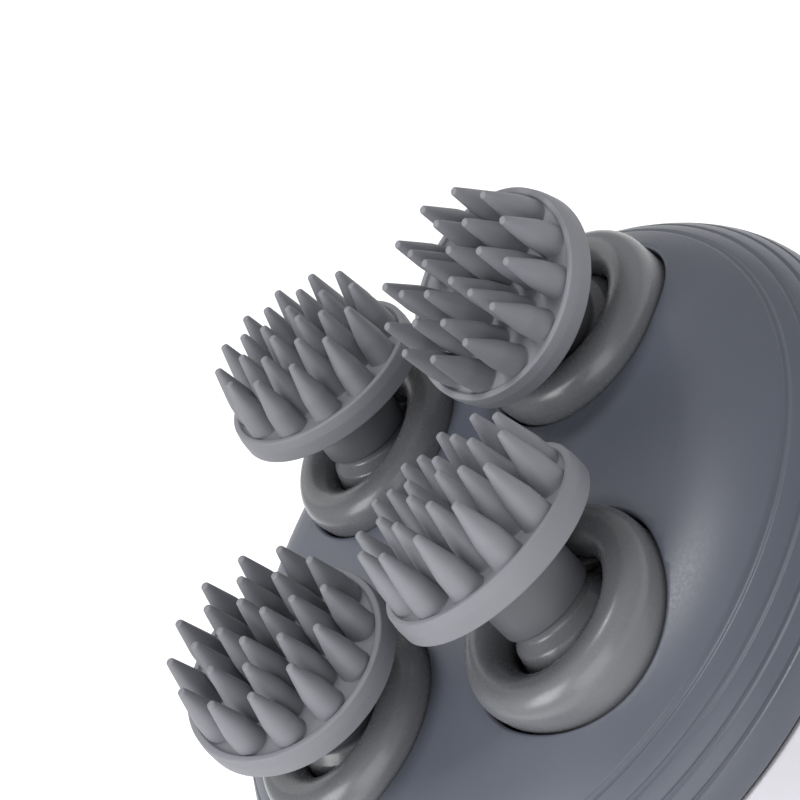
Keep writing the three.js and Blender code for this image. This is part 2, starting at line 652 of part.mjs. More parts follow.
// Centre gear: a large wheel and the sun pinion in one piece, on a steel axle
function sunGear() {
  const wheel = gear(WHEEL_TEETH, WHEEL_MODULE, 0, WHEEL_Z, WHEEL_Z + WHEEL_T);
  const sun = gear(SUN_TEETH, DRIVE_MODULE, 0, WHEEL_Z + WHEEL_T / 2, CRANK_GEAR_TOP_Z);
  const bore = rod(SUN_AXLE_R + SHAFT_GAP, WHEEL_Z - PAST, CRANK_GEAR_TOP_Z + PAST, SMALL_SIDES);
  return cut(fuse(wheel, sun), bore);
}

function sunAxle() {
  return rod(SUN_AXLE_R, PLATE_BOTTOM_Z, COVER_TOP_Z - COVER_T / 2 - FIT, SMALL_SIDES);
}

function motorPinion() {
  const phase = meshPhase(MOTOR_AZIMUTH_DEG, WHEEL_TEETH, 0, MOTOR_TEETH);
  const pinion = gear(MOTOR_TEETH, WHEEL_MODULE, phase, WHEEL_Z, WHEEL_Z + MOTOR_PINION_T);
  const shaftTop = WHEEL_Z + MOTOR_PINION_T + GAP;
  return fuse(pinion, rod(MOTOR_SHAFT_R, MOTOR_TOP_Z - MOTOR_SHAFT_DEPTH, shaftTop, SMALL_SIDES));
}

function motorCan() {
  const can = turned([
    [0, MOTOR_BOTTOM_Z], [MOTOR_R, MOTOR_BOTTOM_Z], [MOTOR_R, MOTOR_TOP_Z - MOTOR_EDGE],
    [MOTOR_R - MOTOR_EDGE, MOTOR_TOP_Z], [0, MOTOR_TOP_Z],
  ], HUB_SIDES);
  const holeBottom = MOTOR_TOP_Z - MOTOR_SHAFT_DEPTH - PAST;
  return can.subtract(rod(MOTOR_SHAFT_R + GAP, holeBottom, MOTOR_TOP_Z + PAST, SMALL_SIDES));
}

function motorCap() {
  const top = MOTOR_BOTTOM_Z - FIT;
  const cap = rod(MOTOR_CAP_R, top - MOTOR_CAP_H, top, HUB_SIDES);
  const lug = block(LUG_W, LUG_T, top - MOTOR_CAP_H - LUG_H, top - MOTOR_CAP_H / 2);
  return fuse(cap, at(lug, 0, LUG_OFFSET), at(lug, 0, -LUG_OFFSET));
}

// Gear plate: carries the crank bearings, the sun axle, the motor and the two long base posts
function discShape(radius) {
  return new THREE.Shape().absarc(0, 0, radius, 0, 2 * Math.PI, false);
}

function gearPlate() {
  let plate = slab(discShape(PLATE_R), PLATE_BOTTOM_Z, PLATE_TOP_Z, SHELL_SIDES / 2);
  const [motorX, motorY] = polar(MOTOR_OFFSET, MOTOR_AZIMUTH_DEG);
  const seatR = MOTOR_R + GAP;
  const [under, over] = [PLATE_BOTTOM_Z - PAST, PLATE_TOP_Z + PAST];
  const collarBottom = PLATE_BOTTOM_Z - MOTOR_COLLAR_H;
  const collarWall = tube(seatR, seatR + MOTOR_COLLAR_WALL, collarBottom, PLATE_BOTTOM_Z + PAST, BOOT_SIDES);
  const headRoom = rod(SCREW_HEAD_R + GAP, collarBottom - PAST, PLATE_BOTTOM_Z, SMALL_SIDES);
  let motorCollar = at(collarWall, motorX, motorY);
  for (const deg of POST_DEG) {
    motorCollar = motorCollar.subtract(at(headRoom, ...polar(POST_CIRCLE_R, deg)));
  }
  plate = plate.add(motorCollar);
  plate = plate.subtract(at(rod(MOTOR_SHAFT_R + SHAFT_ROOM, under, over, SMALL_SIDES), motorX, motorY));
  const bearingR = CRANK_JOURNAL_R + SHAFT_GAP;
  for (let i = 0; i < HEAD_DEG.length; i++) {
    const [x, y] = polar(HEAD_CIRCLE_R, HEAD_DEG[i]);
    const boss = rod(bearingR + BEARING_WALL, BEARING_BOTTOM_Z, PLATE_BOTTOM_Z + PAST, HUB_SIDES);
    plate = plate.add(at(boss, x, y));
    plate = plate.subtract(at(rod(bearingR, BEARING_BOTTOM_Z - PAST, over, HUB_SIDES), x, y));
    const [postX, postY] = polar(POST_CIRCLE_R, POST_DEG[i]);
    plate = plate.subtract(at(rod(SCREW_R + GAP, under, over, SMALL_SIDES), postX, postY));
  }
  for (const side of [-1, 1]) {
    const post = rod(BASE_POST_R, BASE_BOSS_H + GAP, PLATE_BOTTOM_Z + PAST, SMALL_SIDES);
    const hole = rod(SCREW_R + GAP, BASE_BOSS_H, BASE_SCREW_Z + BASE_SCREW_LENGTH + PAST, SMALL_SIDES);
    const postX = side * BASE_POST_X;
    plate = plate.add(at(post, postX, 0)).subtract(at(hole, postX, 0));
  }
  return plate.subtract(rod(SUN_AXLE_R + FIT, under, over, SMALL_SIDES));
}

// Gear cover: four collared windows under the boots, legs round the face shell's posts
function gearCover() {
  const legBottom = PLATE_TOP_Z + FIT;
  let cover = slab(discShape(PLATE_R), COVER_Z, COVER_TOP_Z, SHELL_SIDES / 2);
  cover = cover.add(rod(AXLE_BOSS_R, CRANK_GEAR_TOP_Z + GAP, COVER_Z + PAST, SMALL_SIDES));
  cover = cover.subtract(rod(SUN_AXLE_R + FIT, CRANK_GEAR_TOP_Z, COVER_TOP_Z - COVER_T / 2, SMALL_SIDES));
  for (let i = 0; i < HEAD_DEG.length; i++) {
    const [x, y] = polar(HEAD_CIRCLE_R, HEAD_DEG[i]);
    const collar = rod(COVER_HOLE_R + COVER_COLLAR_WALL, COVER_Z, BOOT_BOTTOM_Z - FIT, BOOT_SIDES);
    cover = cover.add(at(collar, x, y));
    cover = cover.subtract(at(rod(COVER_HOLE_R, COVER_Z - PAST, BOOT_BOTTOM_Z + PAST, BOOT_SIDES), x, y));
    const [postX, postY] = polar(POST_CIRCLE_R, POST_DEG[i]);
    const leg = rod(POST_R + GAP + LEG_WALL, legBottom, COVER_TOP_Z, SMALL_SIDES);
    const sleeve = rod(POST_R + GAP, legBottom - PAST, COVER_TOP_Z + PAST, SMALL_SIDES);
    cover = cover.add(at(leg, postX, postY)).subtract(at(sleeve, postX, postY));
  }
  return cover;
}

// Screw with its head under the seat it is driven up to
function panScrew(seatZ, length) {
  const profile = [
    [0, -SCREW_HEAD_H], [SCREW_CROWN_R, -SCREW_HEAD_H], [SCREW_HEAD_R, -SCREW_HEAD_H / 2],
    [SCREW_HEAD_R, 0], [SCREW_R, 0], [SCREW_R, length], [0, length],
  ];
  return at(turned(profile, SMALL_SIDES), 0, 0, seatZ - FIT);
}

// Cell, board and switch
function cell() {
  const bottom = GRIP_FLOOR_Z + GAP;
  const top = bottom + CELL_LENGTH;
  return turned([
    [0, bottom], [CELL_R, bottom], [CELL_R, top], [CELL_CAP_R, top], [CELL_CAP_R, top + CELL_CAP_H],
    [0, top + CELL_CAP_H],
  ], HUB_SIDES);
}

function circuitBoard() {
  return at(block(BOARD_W, BOARD_T, GRIP_FLOOR_Z + GAP, PLATE_BOTTOM_Z - GAP), 0, BOARD_Y);
}

function tactSwitch() {
  const back = -BOARD_Y + BOARD_T / 2 + FIT;
  const front = back + SWITCH_T - FIT;
  const body = block(SWITCH_W, front - back, BUTTON_Z - SWITCH_W / 2, BUTTON_Z + SWITCH_W / 2);
  const plunger = frontRod(PLUNGER_R, front - PAST, front + PLUNGER_H, BUTTON_Z, SMALL_SIDES);
  return fuse(at(body, 0, -(back + front) / 2), plunger);
}

// Power button, the light ring round it and the bezel round both
function powerButton() {
  const face = WALL_FRONT + BUTTON_PROUD;
  const flangeFront = BUTTON_BACK + BUTTON_FLANGE_T;
  return frontTurned([
    [0, BUTTON_BACK], [BUTTON_R + BUTTON_FLANGE, BUTTON_BACK], [BUTTON_R + BUTTON_FLANGE, flangeFront],
    [BUTTON_R, flangeFront], [BUTTON_R, face - BUTTON_EDGE], [BUTTON_R - BUTTON_EDGE, face],
    [0, face - BUTTON_DISH],
  ], BUTTON_Z, HUB_SIDES);
}

function lightRing() {
  const back = BUTTON_BACK + BUTTON_FLANGE_T + GAP;
  const front = WALL_FRONT + BEZEL_PROUD;
  return frontTurned(ringProfile(BUTTON_R + GAP, LIGHT_RING_R, back, front), BUTTON_Z, HUB_SIDES);
}

function buttonBezel() {
  const lipBack = LIP_FRONT - BEZEL_LIP_T;
  const front = WALL_FRONT + BEZEL_PROUD;
  return frontTurned([
    [BEZEL_IN_R, lipBack], [BEZEL_LIP_R, lipBack], [BEZEL_LIP_R, LIP_FRONT], [BEZEL_R, LIP_FRONT],
    [BEZEL_R, front - BEZEL_EDGE], [BEZEL_R - BEZEL_EDGE, front], [BEZEL_IN_R, front],
    [BEZEL_IN_R, lipBack],
  ], BUTTON_Z, HUB_SIDES);
}

// Assembly
const massager = new THREE.Group();

massager.add(named('face_shell', faceShell(), slateAbs));
massager.add(named('seam_gasket', seamGasket(), blackRubber));
massager.add(named('grip_shell', gripShell(), paleAbs));
massager.add(named('foot_ring', footRing(), blackRubber));
massager.add(named('gear_plate', gearPlate(), blackNylon));
massager.add(named('gear_cover', gearCover(), blackNylon));
massager.add(named('sun_gear', sunGear(), acetal));
massager.add(named('sun_axle', sunAxle(), steel));
massager.add(named('battery_cell', at(cell(), 0, CELL_Y), cellWrap));
massager.add(named('circuit_board', circuitBoard(), boardGreen));
massager.add(named('tact_switch', tactSwitch(), blackNylon));
massager.add(named('power_button', powerButton(), slateAbs));
massager.add(named('light_ring', lightRing(), milky));
massager.add(named('button_bezel', buttonBezel(), steel));

const motor = new THREE.Group();
motor.position.set(...polar(MOTOR_OFFSET, MOTOR_AZIMUTH_DEG), 0);
motor.add(named('motor_can', motorCan(), steel));
motor.add(named('motor_cap', motorCap(), blackNylon));
motor.add(named('motor_pinion', motorPinion(), brass));
massager.add(motor);

for (const [side, name] of [[-1, 'charge_contact_left'], [1, 'charge_contact_right']]) {
  const contact = named(name, chargeContact(), gold);
  contact.position.set(side * CONTACT_SPACING / 2, CONTACT_Y, 0);
  massager.add(contact);
}

for (const [side, name] of [[-1, 'base_screw_left'], [1, 'base_screw_right']]) {
  const screw = named(name, panScrew(BASE_SCREW_Z, BASE_SCREW_LENGTH), steel);
  screw.position.set(side * BASE_POST_X, 0, 0);
  massager.add(screw);
}

for (let i = 0; i < HEAD_DEG.length; i++) {
  const number = i + 1;
  const plateScrew = named(`plate_screw_${number}`, panScrew(PLATE_BOTTOM_Z, PLATE_SCREW_LENGTH), steel);
  plateScrew.position.set(...polar(POST_CIRCLE_R, POST_DEG[i]), 0);
  massager.add(plateScrew);

  const station = new THREE.Group();
  station.position.set(...polar(HEAD_CIRCLE_R, HEAD_DEG[i]), 0);
  station.add(named(`boot_${number}`, boot(), bootSilicone));

  const crank = new THREE.Group();
  crank.rotation.z = HEAD_LEAN_DEG[i] * RAD;
  const meshDeg = meshPhase(HEAD_DEG[i], SUN_TEETH, 0, CRANK_TEETH) - HEAD_LEAN_DEG[i];
  crank.add(named(`crank_gear_${number}`, crankGear(meshDeg), acetal));

  const head = new THREE.Group();
  head.position.z = PIVOT_Z;
  head.rotation.y = HEAD_TILT_DEG * RAD;
  head.add(named(`head_screw_${number}`, headScrew(), steel));
  head.add(named(`head_bush_${number}`, headBush(), brass));
  head.add(named(`head_hub_${number}`, headHub(), hubNylon));
  head.add(named(`pin_pad_${number}`, pinPad(PIN_PHASE_DEG[i]), padSilicone));
  crank.add(head);
  station.add(crank);
  massager.add(station);
}

export default massager;
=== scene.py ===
"""Looks of a handheld electric scalp massager with four kneading heads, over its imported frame.

Metres, +Z up. The massager stands on the floor with its heads on top and its power button towards -Y.
Sizes are written in millimetres times MM and follow the part's source. The face's shoulder, grooves and
openings, the boots' rolls and the pads' rims differ from it by less than 1 mm, to match the photograph.
"""

import json
import math

import bmesh
import bpy
from bpy.props import FloatProperty, FloatVectorProperty, IntProperty, PointerProperty
from bpy.types import Operator, Panel, PropertyGroup
from mathutils import Matrix, Vector

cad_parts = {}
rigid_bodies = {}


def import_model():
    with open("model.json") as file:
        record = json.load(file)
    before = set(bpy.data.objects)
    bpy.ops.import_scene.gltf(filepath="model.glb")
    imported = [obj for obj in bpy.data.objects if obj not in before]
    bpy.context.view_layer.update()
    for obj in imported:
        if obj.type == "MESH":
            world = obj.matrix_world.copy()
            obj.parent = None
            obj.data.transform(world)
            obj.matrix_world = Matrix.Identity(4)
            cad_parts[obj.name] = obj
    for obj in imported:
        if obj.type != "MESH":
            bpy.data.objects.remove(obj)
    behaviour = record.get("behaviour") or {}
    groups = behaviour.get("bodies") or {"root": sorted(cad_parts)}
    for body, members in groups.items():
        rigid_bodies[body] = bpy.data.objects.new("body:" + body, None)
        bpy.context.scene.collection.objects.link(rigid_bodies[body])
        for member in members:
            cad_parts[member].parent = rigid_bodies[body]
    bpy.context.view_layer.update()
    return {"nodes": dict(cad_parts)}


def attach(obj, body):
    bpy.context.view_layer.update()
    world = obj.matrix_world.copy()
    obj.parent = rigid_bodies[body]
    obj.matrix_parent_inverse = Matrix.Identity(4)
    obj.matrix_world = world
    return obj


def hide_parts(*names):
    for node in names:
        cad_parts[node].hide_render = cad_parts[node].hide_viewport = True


bl_info = {
    "name": "Scalp massager",
    "version": (1, 0, 0),
    "blender": (4, 5, 0),
    "location": "3D View > Sidebar > Massager",
    "description": "Models and finishes each piece of an electric scalp massager",
    "category": "Object",
}

# The objects that Blender starts with would stand round the massager
for leftover in list(bpy.data.objects):
    bpy.data.objects.remove(leftover)
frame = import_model()
MM = 0.001

# Where each head stands round the main axis, which way it leans, and how its pins are turned
HEAD_DEG = (39, 141, 219, 321)
LEAN_DEG = (311, 274, 1, 173)
PIN_PHASE_DEG = (71.5, 39, 10.5, 76)
HEADS = range(len(HEAD_DEG))

# Facets round each kind of turned piece, along a rounded corner and along the boots' roll
SHELL_STEPS = 144
RING_STEPS = 96
CONTACT_STEPS = 48
PIN_STEPS = 20
CORNER_STEPS = 5
ROLL_STEPS = 36

# The roll of a boot goes round this far, from its outside over the top
ROLL_DEG = 222

# An edge that turns by more than this is drawn sharp
SHARP_DEG = 35

# How far a cutter, or a piece to be joined, reaches past the surface that it meets
PAST = 1 * MM


def linear(code):
    """An sRGB hex colour as the linear RGBA that a shader works in."""
    parts = [int(code[i:i + 2], 16) / 255 for i in (1, 3, 5)]
    return tuple(p / 12.92 if p <= 0.04045 else ((p + 0.055) / 1.055) ** 2.4 for p in parts) + (1.0,)


def length(name, description, millimetres):
    """A size that a user may change, in the scene's units."""
    return FloatProperty(name=name, description=description, default=millimetres * MM,
                         min=0.0, precision=5, unit="LENGTH", subtype="DISTANCE")


def colour(name, description, code):
    """A colour that a user may change."""
    return FloatVectorProperty(name=name, description=description, default=linear(code),
                               min=0.0, max=1.0, size=4, subtype="COLOR")


class MassagerLayout(PropertyGroup):
    circle: length("Head circle", "Radius of the circle that the four heads stand on", 26)
    pivot: length("Pivot height", "Height at which each head's axis crosses its crank's axis", 72)
    tilt: FloatProperty(name="Tilt", description="How far each head leans from upright",
                        default=math.radians(16), unit="ROTATION", subtype="ANGLE")


class MassagerFace(PropertyGroup):
    radius: length("Rim radius", "Radius of the face shell at the seam", 47.5)
    top: length("Face height", "Height of the flat middle of the face", 70.7)
    shoulder_width: length("Shoulder width", "How far in from the rim the shoulder begins", 15.7)
    shoulder_height: length("Shoulder height", "How far the shoulder falls", 13)
    fullness: FloatProperty(name="Fullness", default=1.65, min=1.0,
                            description="How full the shoulder's curve is, 2 being elliptical")
    skirt: length("Skirt height", "Straight part of the shell above the seam", 1.4)
    wall: length("Wall", "Thickness of the shell", 2.2)
    opening: length("Opening radius", "Radius of the round opening about each boot", 12.7)
    opening_edge: length("Opening edge", "Radius of the softened edge of each opening", 0.5)
    collar: length("Collar depth", "How far the collar of each opening reaches down", 8)
    collar_wall: length("Collar wall", "Thickness of the collar of each opening", 2)
    first_groove: length("First groove", "How far below the face the first groove lies", 4.7)
    groove_pitch: length("Groove spacing", "Height from one groove to the next", 1.9)
    groove_width: length("Groove width", "Width of each groove", 0.5)
    groove_depth: length("Groove depth", "Depth of each groove", 0.24)
    grooves: IntProperty(name="Grooves", default=4, min=0,
                         description="How many grooves run round the shoulder")


class MassagerBoot(PropertyGroup):
    ring: length("Ring radius", "Radius of the middle of the rolled ring", 9.75)
    roll_width: length("Roll half width", "Half the width of the roll", 2.7)
    roll_height: length("Roll half height", "Half the height of the roll", 3)
    sink: length("Sink", "How far below the pivot the middle of the roll lies", 0.5)
    flange: length("Flange radius", "Radius of the flange that is clamped under the face", 15.6)
    flange_height: length("Flange thickness", "Thickness of that flange", 1.6)
    depth: length("Depth", "How far the boot reaches below the pivot", 11)
    inner: length("Neck inside", "Radius of the hollow below the ledge", 9.4)
    ledge: length("Ledge radius", "Radius of the hole in the ledge inside the roll", 7.75)
    ledge_depth: length("Ledge depth", "How far below the pivot the ledge lies", 3.6)
    ledge_height: length("Ledge height", "Height of the ledge's edge", 1)


class MassagerHead(PropertyGroup):
    radius: length("Pad radius", "Radius of the pad at its lip", 12.4)
    top: length("Pad top", "Height of the pad's lip above the pivot", 12.5)
    lip: length("Lip", "Height of the raised lip", 0.5)
    lip_wall: length("Lip wall", "Thickness of the raised lip", 0.7)
    band: length("Band", "How far the lower band stands out from the lip", 0.2)
    band_fall: length("Band fall", "How far below the lip the band is at its widest", 1.3)
    band_depth: length("Band depth", "How far the band reaches below the lip", 3.1)
    band_wall: length("Band wall", "Thickness of the band where it goes round the disc", 0.6)
    skin: length("Skin", "Thickness of the pad between its pins", 1)
    pin_base: length("Pin base radius", "Radius of each pin where it leaves the pad", 1.9)
    pin_tip: length("Pin tip radius", "Radius of each pin's round tip", 0.65)
    outer_ring: length("Outer ring", "Radius of the outer ring of twelve pins", 9.7)
    outer_height: length("Outer pins", "Height of the outer pins above the lip", 7.3)
    middle_ring: length("Middle ring", "Radius of the middle ring of eight pins", 6.15)
    middle_height: length("Middle pins", "Height of the middle pins above the lip", 7.9)
    inner_ring: length("Inner ring", "Radius of the inner ring of four pins", 2.7)
    inner_height: length("Inner pins", "Height of the inner pins above the lip", 8.2)
    disc: length("Disc thickness", "Thickness of the disc that carries the pad", 1.3)
    stem: length("Stem radius", "Radius of the stem under the pad", 5.5)
    stem_end: length("Stem end", "Height above the pivot at which the hard stem ends", 1.5)
    cuff: length("Cuff", "How far the rubber cuff stands out from the stem at its foot", 1.2)


class MassagerGrip(PropertyGroup):
    bottom: length("Underside", "Height of the underside above the surface it stands on", 0.6)
    floor: length("Floor", "Height of the floor inside the grip", 3.8)
    top: length("Grip height", "Height of the grip's top edge", 55.6)
    top_radius: length("Top radius", "Radius of the grip under the face", 47.3)
    waist: length("Waist radius", "Radius of the grip at its waist", 35)
    base: length("Base radius", "Radius of the grip near its foot", 35.6)
    wall: length("Wall", "Thickness of the grip shell", 2.4)
    spigot: length("Spigot height", "How far the inner rim stands up into the face", 2)
    spigot_gap: length("Spigot gap", "Gap between the inner rim and the face", 0.3)
    foot_inside: length("Foot ring inside", "Inner radius of the rubber foot ring", 24.5)
    foot_width: length("Foot ring width", "Width of the rubber foot ring", 5.5)
    foot_height: length("Foot ring height", "Height of the rubber foot ring", 1.8)
    contact_hole: length("Contact hole", "Radius of the hole round each charging contact", 1.9)
    contact_spacing: length("Contact spacing", "Distance between the two charging contacts", 10)
    contact_back: length("Contacts back", "How far behind the main axis the contacts lie", 20)


class MassagerButton(PropertyGroup):
    height: length("Height", "Height of the button's middle", 19)
    radius: length("Radius", "Radius of the button cap", 7)
    proud: length("Proud", "How far the cap stands out from the grip", 1.2)
    back: length("Back", "How far in front of the main axis the cap begins", 29.3)
    gap: length("Gap", "Gap between the cap, the light ring and the bezel", 0.3)
    ring_width: length("Light ring width", "Width of the light ring", 1.2)
    bezel_width: length("Bezel width", "Width of the plated bezel", 1.3)
    bezel_depth: length("Bezel depth", "How far the bezel reaches into the grip", 4)
    rim: length("Rim", "How far light ring and bezel stand out from the grip", 1)


class MassagerColours(PropertyGroup):
    face: colour("Face", "Slate grey plastic of the face", "#545863")
    grip: colour("Grip", "Pale plastic of the grip", "#D0CFD6")
    boot: colour("Boots", "Grey silicone of the boots", "#6F7074")
    pad: colour("Pads", "Grey silicone of the pads", "#7F8086")
    hub: colour("Stems", "Grey plastic of the stems", "#5A5B60")


# Modelling: a piece is a profile of (radius, height[, corner radius]) points, spun round an axis

def rounded(points):
    """The points of a profile, in metres, with an arc at each corner that names a radius."""
    out = []
    for i, point in enumerate(points):
        here = Vector(point[:2])
        if len(point) < 3 or i in (0, len(points) - 1):
            out.append(here)
            continue
        back = Vector(points[i - 1][:2]) - here
        on = Vector(points[i + 1][:2]) - here
        half = back.angle(on) / 2
        reach = min(point[2] / math.tan(half), 0.49 * back.length, 0.49 * on.length)
        radius = reach * math.tan(half)
        middle = here + (back.normalized() + on.normalized()).normalized() * radius / math.sin(half)
        start = here + back.normalized() * reach - middle
        stop = here + on.normalized() * reach - middle
        for k in range(CORNER_STEPS + 1):
            out.append(middle + start.slerp(stop, k / CORNER_STEPS).normalized() * start.length)
    return out


def spin_into(bm, profile, steps, closed=False, place=None):
    """Spins a profile a full turn about Z and adds it to a bmesh, at a place."""
    verts = [bm.verts.new((p[0], 0, p[1])) for p in profile]
    edges = [bm.edges.new(pair) for pair in zip(verts, verts[1:])]
    if closed:
        edges.append(bm.edges.new((verts[-1], verts[0])))
    before = set(bm.verts) - set(verts)
    bmesh.ops.spin(bm, geom=verts + edges, cent=(0, 0, 0), axis=(0, 0, 1), angle=2 * math.pi,
                   steps=steps, use_merge=True)
    new = [v for v in bm.verts if v not in before]
    bmesh.ops.remove_doubles(bm, verts=new, dist=1e-7)
    new = [v for v in bm.verts if v not in before]
    if place:
        bmesh.ops.transform(bm, matrix=place, verts=new)


def spun(profile, steps, closed=False, place=None):
    """A bmesh of a profile spun a full turn about Z, at a place."""
    bm = bmesh.new()
    spin_into(bm, profile, steps, closed, place)
    return bm


def merge(target, source):
    """Adds one bmesh to another."""
    mesh = bpy.data.meshes.new("part")
    source.to_mesh(mesh)
    source.free()
    target.from_mesh(mesh)
    bpy.data.meshes.remove(mesh)


def smooth(mesh):
    """Shades a mesh smooth, apart from its sharp edges."""
    mesh.shade_smooth()
    mesh.set_sharp_from_angle(angle=math.radians(SHARP_DEG))


def piece(name, bm, material, body, replaces=()):
    """Makes a bmesh into an object that rides on a body and stands for CAD nodes."""
    bmesh.ops.recalc_face_normals(bm, faces=bm.faces)
    mesh = bpy.data.meshes.new(name)
    bm.to_mesh(mesh)
    bm.free()
    smooth(mesh)
    mesh.materials.append(material)
    obj = bpy.data.objects.new(name, mesh)
    bpy.context.collection.objects.link(obj)
    if replaces:
        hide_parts(*replaces)
    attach(obj, body)
    return obj


def carve(obj, tool_bm, operation):
    """Joins a closed tool to an object's mesh, or cuts it away, and bakes the result."""
    tool_mesh = bpy.data.meshes.new("tool")
    bmesh.ops.recalc_face_normals(tool_bm, faces=tool_bm.faces)
    tool_bm.to_mesh(tool_mesh)
    tool_bm.free()
    tool = bpy.data.objects.new("tool", tool_mesh)
    bpy.context.collection.objects.link(tool)
    modifier = obj.modifiers.new("carve", "BOOLEAN")
    modifier.operation = operation
    modifier.solver = "EXACT"
    modifier.object = tool
    bpy.context.view_layer.update()
    carved = bpy.data.meshes.new_from_object(obj.evaluated_get(bpy.context.evaluated_depsgraph_get()))
    obj.modifiers.remove(modifier)
    old, name = obj.data, obj.data.name
    obj.data = carved
    bpy.data.meshes.remove(old)
    carved.name = name
    bpy.data.objects.remove(tool)
    bpy.data.meshes.remove(tool_mesh)
    smooth(carved)


def boot_place(layout, i):
    """Where head i's pivot is, upright."""
    turn = math.radians(HEAD_DEG[i])
    return Matrix.Translation((layout.circle * math.cos(turn), layout.circle * math.sin(turn), layout.pivot))


def head_place(layout, i):
    """Where head i's pivot is, turned and tilted as the head is."""
    return (boot_place(layout, i) @ Matrix.Rotation(math.radians(LEAN_DEG[i]), 4, "Z")
            @ Matrix.Rotation(layout.tilt, 4, "Y"))


# Materials: each is named for what the real piece is made of and how its surface was made

# Nearly all of a noise pattern lies between these values
NOISE_SPAN = {"From Min": 0.3, "From Max": 0.7}

# Size of the clouds of paler colour in moulded plastic and silicone
CLOUDS = 14 * MM


def add_node(tree, kind, inputs, output=None, **settings):
    """Adds a node with its settings, values and links, and gives one of its outputs."""
    node = tree.nodes.new(kind)
    for key, value in settings.items():
        setattr(node, key, value)
    for key, value in inputs.items():
        if isinstance(value, bpy.types.NodeSocket):
            tree.links.new(value, node.inputs[key])
        else:
            node.inputs[key].default_value = value
    return node.outputs[output] if output else None


def begin(name):
    """A new node material, its tree and the object coordinates that its patterns lie on."""
    material = bpy.data.materials.new(name)
    material.use_nodes = True
    material.node_tree.nodes.clear()
    tree = material.node_tree
    return material, tree, add_node(tree, "ShaderNodeTexCoord", {}, "Object")


def shade(rgba, share):
    """A colour made lighter or darker by a share."""
    return tuple(min(1.0, c * share) for c in rgba[:3]) + (1.0,)


def patterned(name, tones, patterns, roughness, depth=0, span=NOISE_SPAN, stretch=None, more=None):
    """A material whose colour follows the first of its noise patterns, and its gloss and relief the last.

    A pattern is the size of its spots in metres and how many finer layers it has. Tones and roughness give
    their two ends, depth is the relief's in metres, and more holds other inputs of the shader.
    """
    material, tree, place = begin(name)
    if stretch:
        place = add_node(tree, "ShaderNodeMapping", {"Vector": place, "Scale": stretch}, "Vector")
    noises = []
    for size, detail in patterns:
        noises.append(add_node(tree, "ShaderNodeTexNoise", {
            "Vector": place, "Scale": 1 / size, "Detail": detail,
        }, "Fac"))
    factor = add_node(tree, "ShaderNodeMapRange", {"Value": noises[0], **span}, "Result")
    tone = add_node(tree, "ShaderNodeMix", {
        "Factor": factor, "A": tones[0], "B": tones[1],
    }, "Result", data_type="RGBA")
    dullness = add_node(tree, "ShaderNodeMapRange", {
        "Value": noises[-1], **NOISE_SPAN, "To Min": roughness[0], "To Max": roughness[1],
    }, "Result")
    inputs = {"Base Color": tone, "Roughness": dullness, **(more or {})}
    if depth:
        relief = {"Height": noises[-1], "Distance": depth}
        inputs["Normal"] = add_node(tree, "ShaderNodeBump", relief, "Normal")
    surface = add_node(tree, "ShaderNodeBsdfPrincipled", inputs, "BSDF")
    add_node(tree, "ShaderNodeOutputMaterial", {"Surface": surface})
    return material


def moulded(name, rgba, texture, depth, roughness, cloud=0.04):
    """Moulded plastic or silicone: the texture that the mould leaves, and clouds of barely paler colour."""
    return patterned(name, (shade(rgba, 1 - cloud), shade(rgba, 1 + cloud)), ((CLOUDS, 3.0), (texture, 2.0)),
                     (roughness - 0.03, roughness + 0.03), depth, more={"IOR": 1.5})


def slate_abs(colours):
    """Moulded ABS with a fine eroded texture: satin, with soft broad highlights."""
    return moulded("moulded_slate_abs", colours.face, 0.35 * MM, 0.006 * MM, 0.4)


def pale_abs(colours):
    """Moulded ABS, polished a little finer than the face."""
    return moulded("moulded_pale_abs", colours.grip, 0.3 * MM, 0.004 * MM, 0.34, 0.02)


def boot_silicone(colours):
    """Silicone from a polished mould: smooth, with a wet-looking streak of light along the roll."""
    return moulded("polished_silicone", colours.boot, 0.6 * MM, 0.0015 * MM, 0.26)


def pad_silicone(colours):
    """Silicone from a bead-blasted mould: dull, with a faint grain."""
    return moulded("blasted_silicone", colours.pad, 0.3 * MM, 0.012 * MM, 0.55)


def hub_plastic(colours):
    """Moulded nylon: dull satin."""
    return moulded("moulded_grey_nylon", colours.hub, 0.35 * MM, 0.006 * MM, 0.45)


def black_rubber():
    """Moulded black silicone rubber with a dusty bloom."""
    return moulded("moulded_black_rubber", linear("#1C1C1F"), 0.4 * MM, 0.01 * MM, 0.6, 0.15)


def black_nylon():
    """Glass-filled nylon: black with paler flecks where fibres lie at the skin."""
    return patterned("glass_filled_nylon", (linear("#232326"), linear("#3A3A3E")), ((1.2 * MM, 1.0),),
                     (0.5, 0.62), 0.01 * MM, {"From Min": 0.62, "From Max": 0.72}, (1, 4, 2))


def acetal():
    """Moulded natural acetal: waxy off-white that light sinks into a little."""
    return patterned("moulded_acetal", (linear("#E4E0D4"), linear("#EFECE4")),
                     ((5 * MM, 2.0), (0.4 * MM, 2.0)), (0.3, 0.4), 0.004 * MM,
                     more={"Subsurface Weight": 0.1, "Subsurface Radius": (1 * MM, 1 * MM, 1 * MM)})


def metal(name, rgba, roughness, lines):
    """Machined or plated metal: fine turning or brushing lines that stretch the highlight."""
    return patterned(name, (shade(rgba, 0.9), shade(rgba, 1.06)), ((lines, 2.0),),
                     (roughness - 0.05, roughness + 0.07), 0.004 * MM, stretch=(1, 1, 12),
                     more={"Metallic": 1.0})


def chrome_plate():
    """Satin chrome plate: bright, with barely blurred reflections."""
    return metal("satin_chrome_plate", linear("#C3C5C9"), 0.2, 0.8 * MM)


def zinc_plated_steel():
    """Zinc-plated steel: pale blue-grey and half dull."""
    return metal("zinc_plated_steel", linear("#B9BCC0"), 0.3, 0.6 * MM)


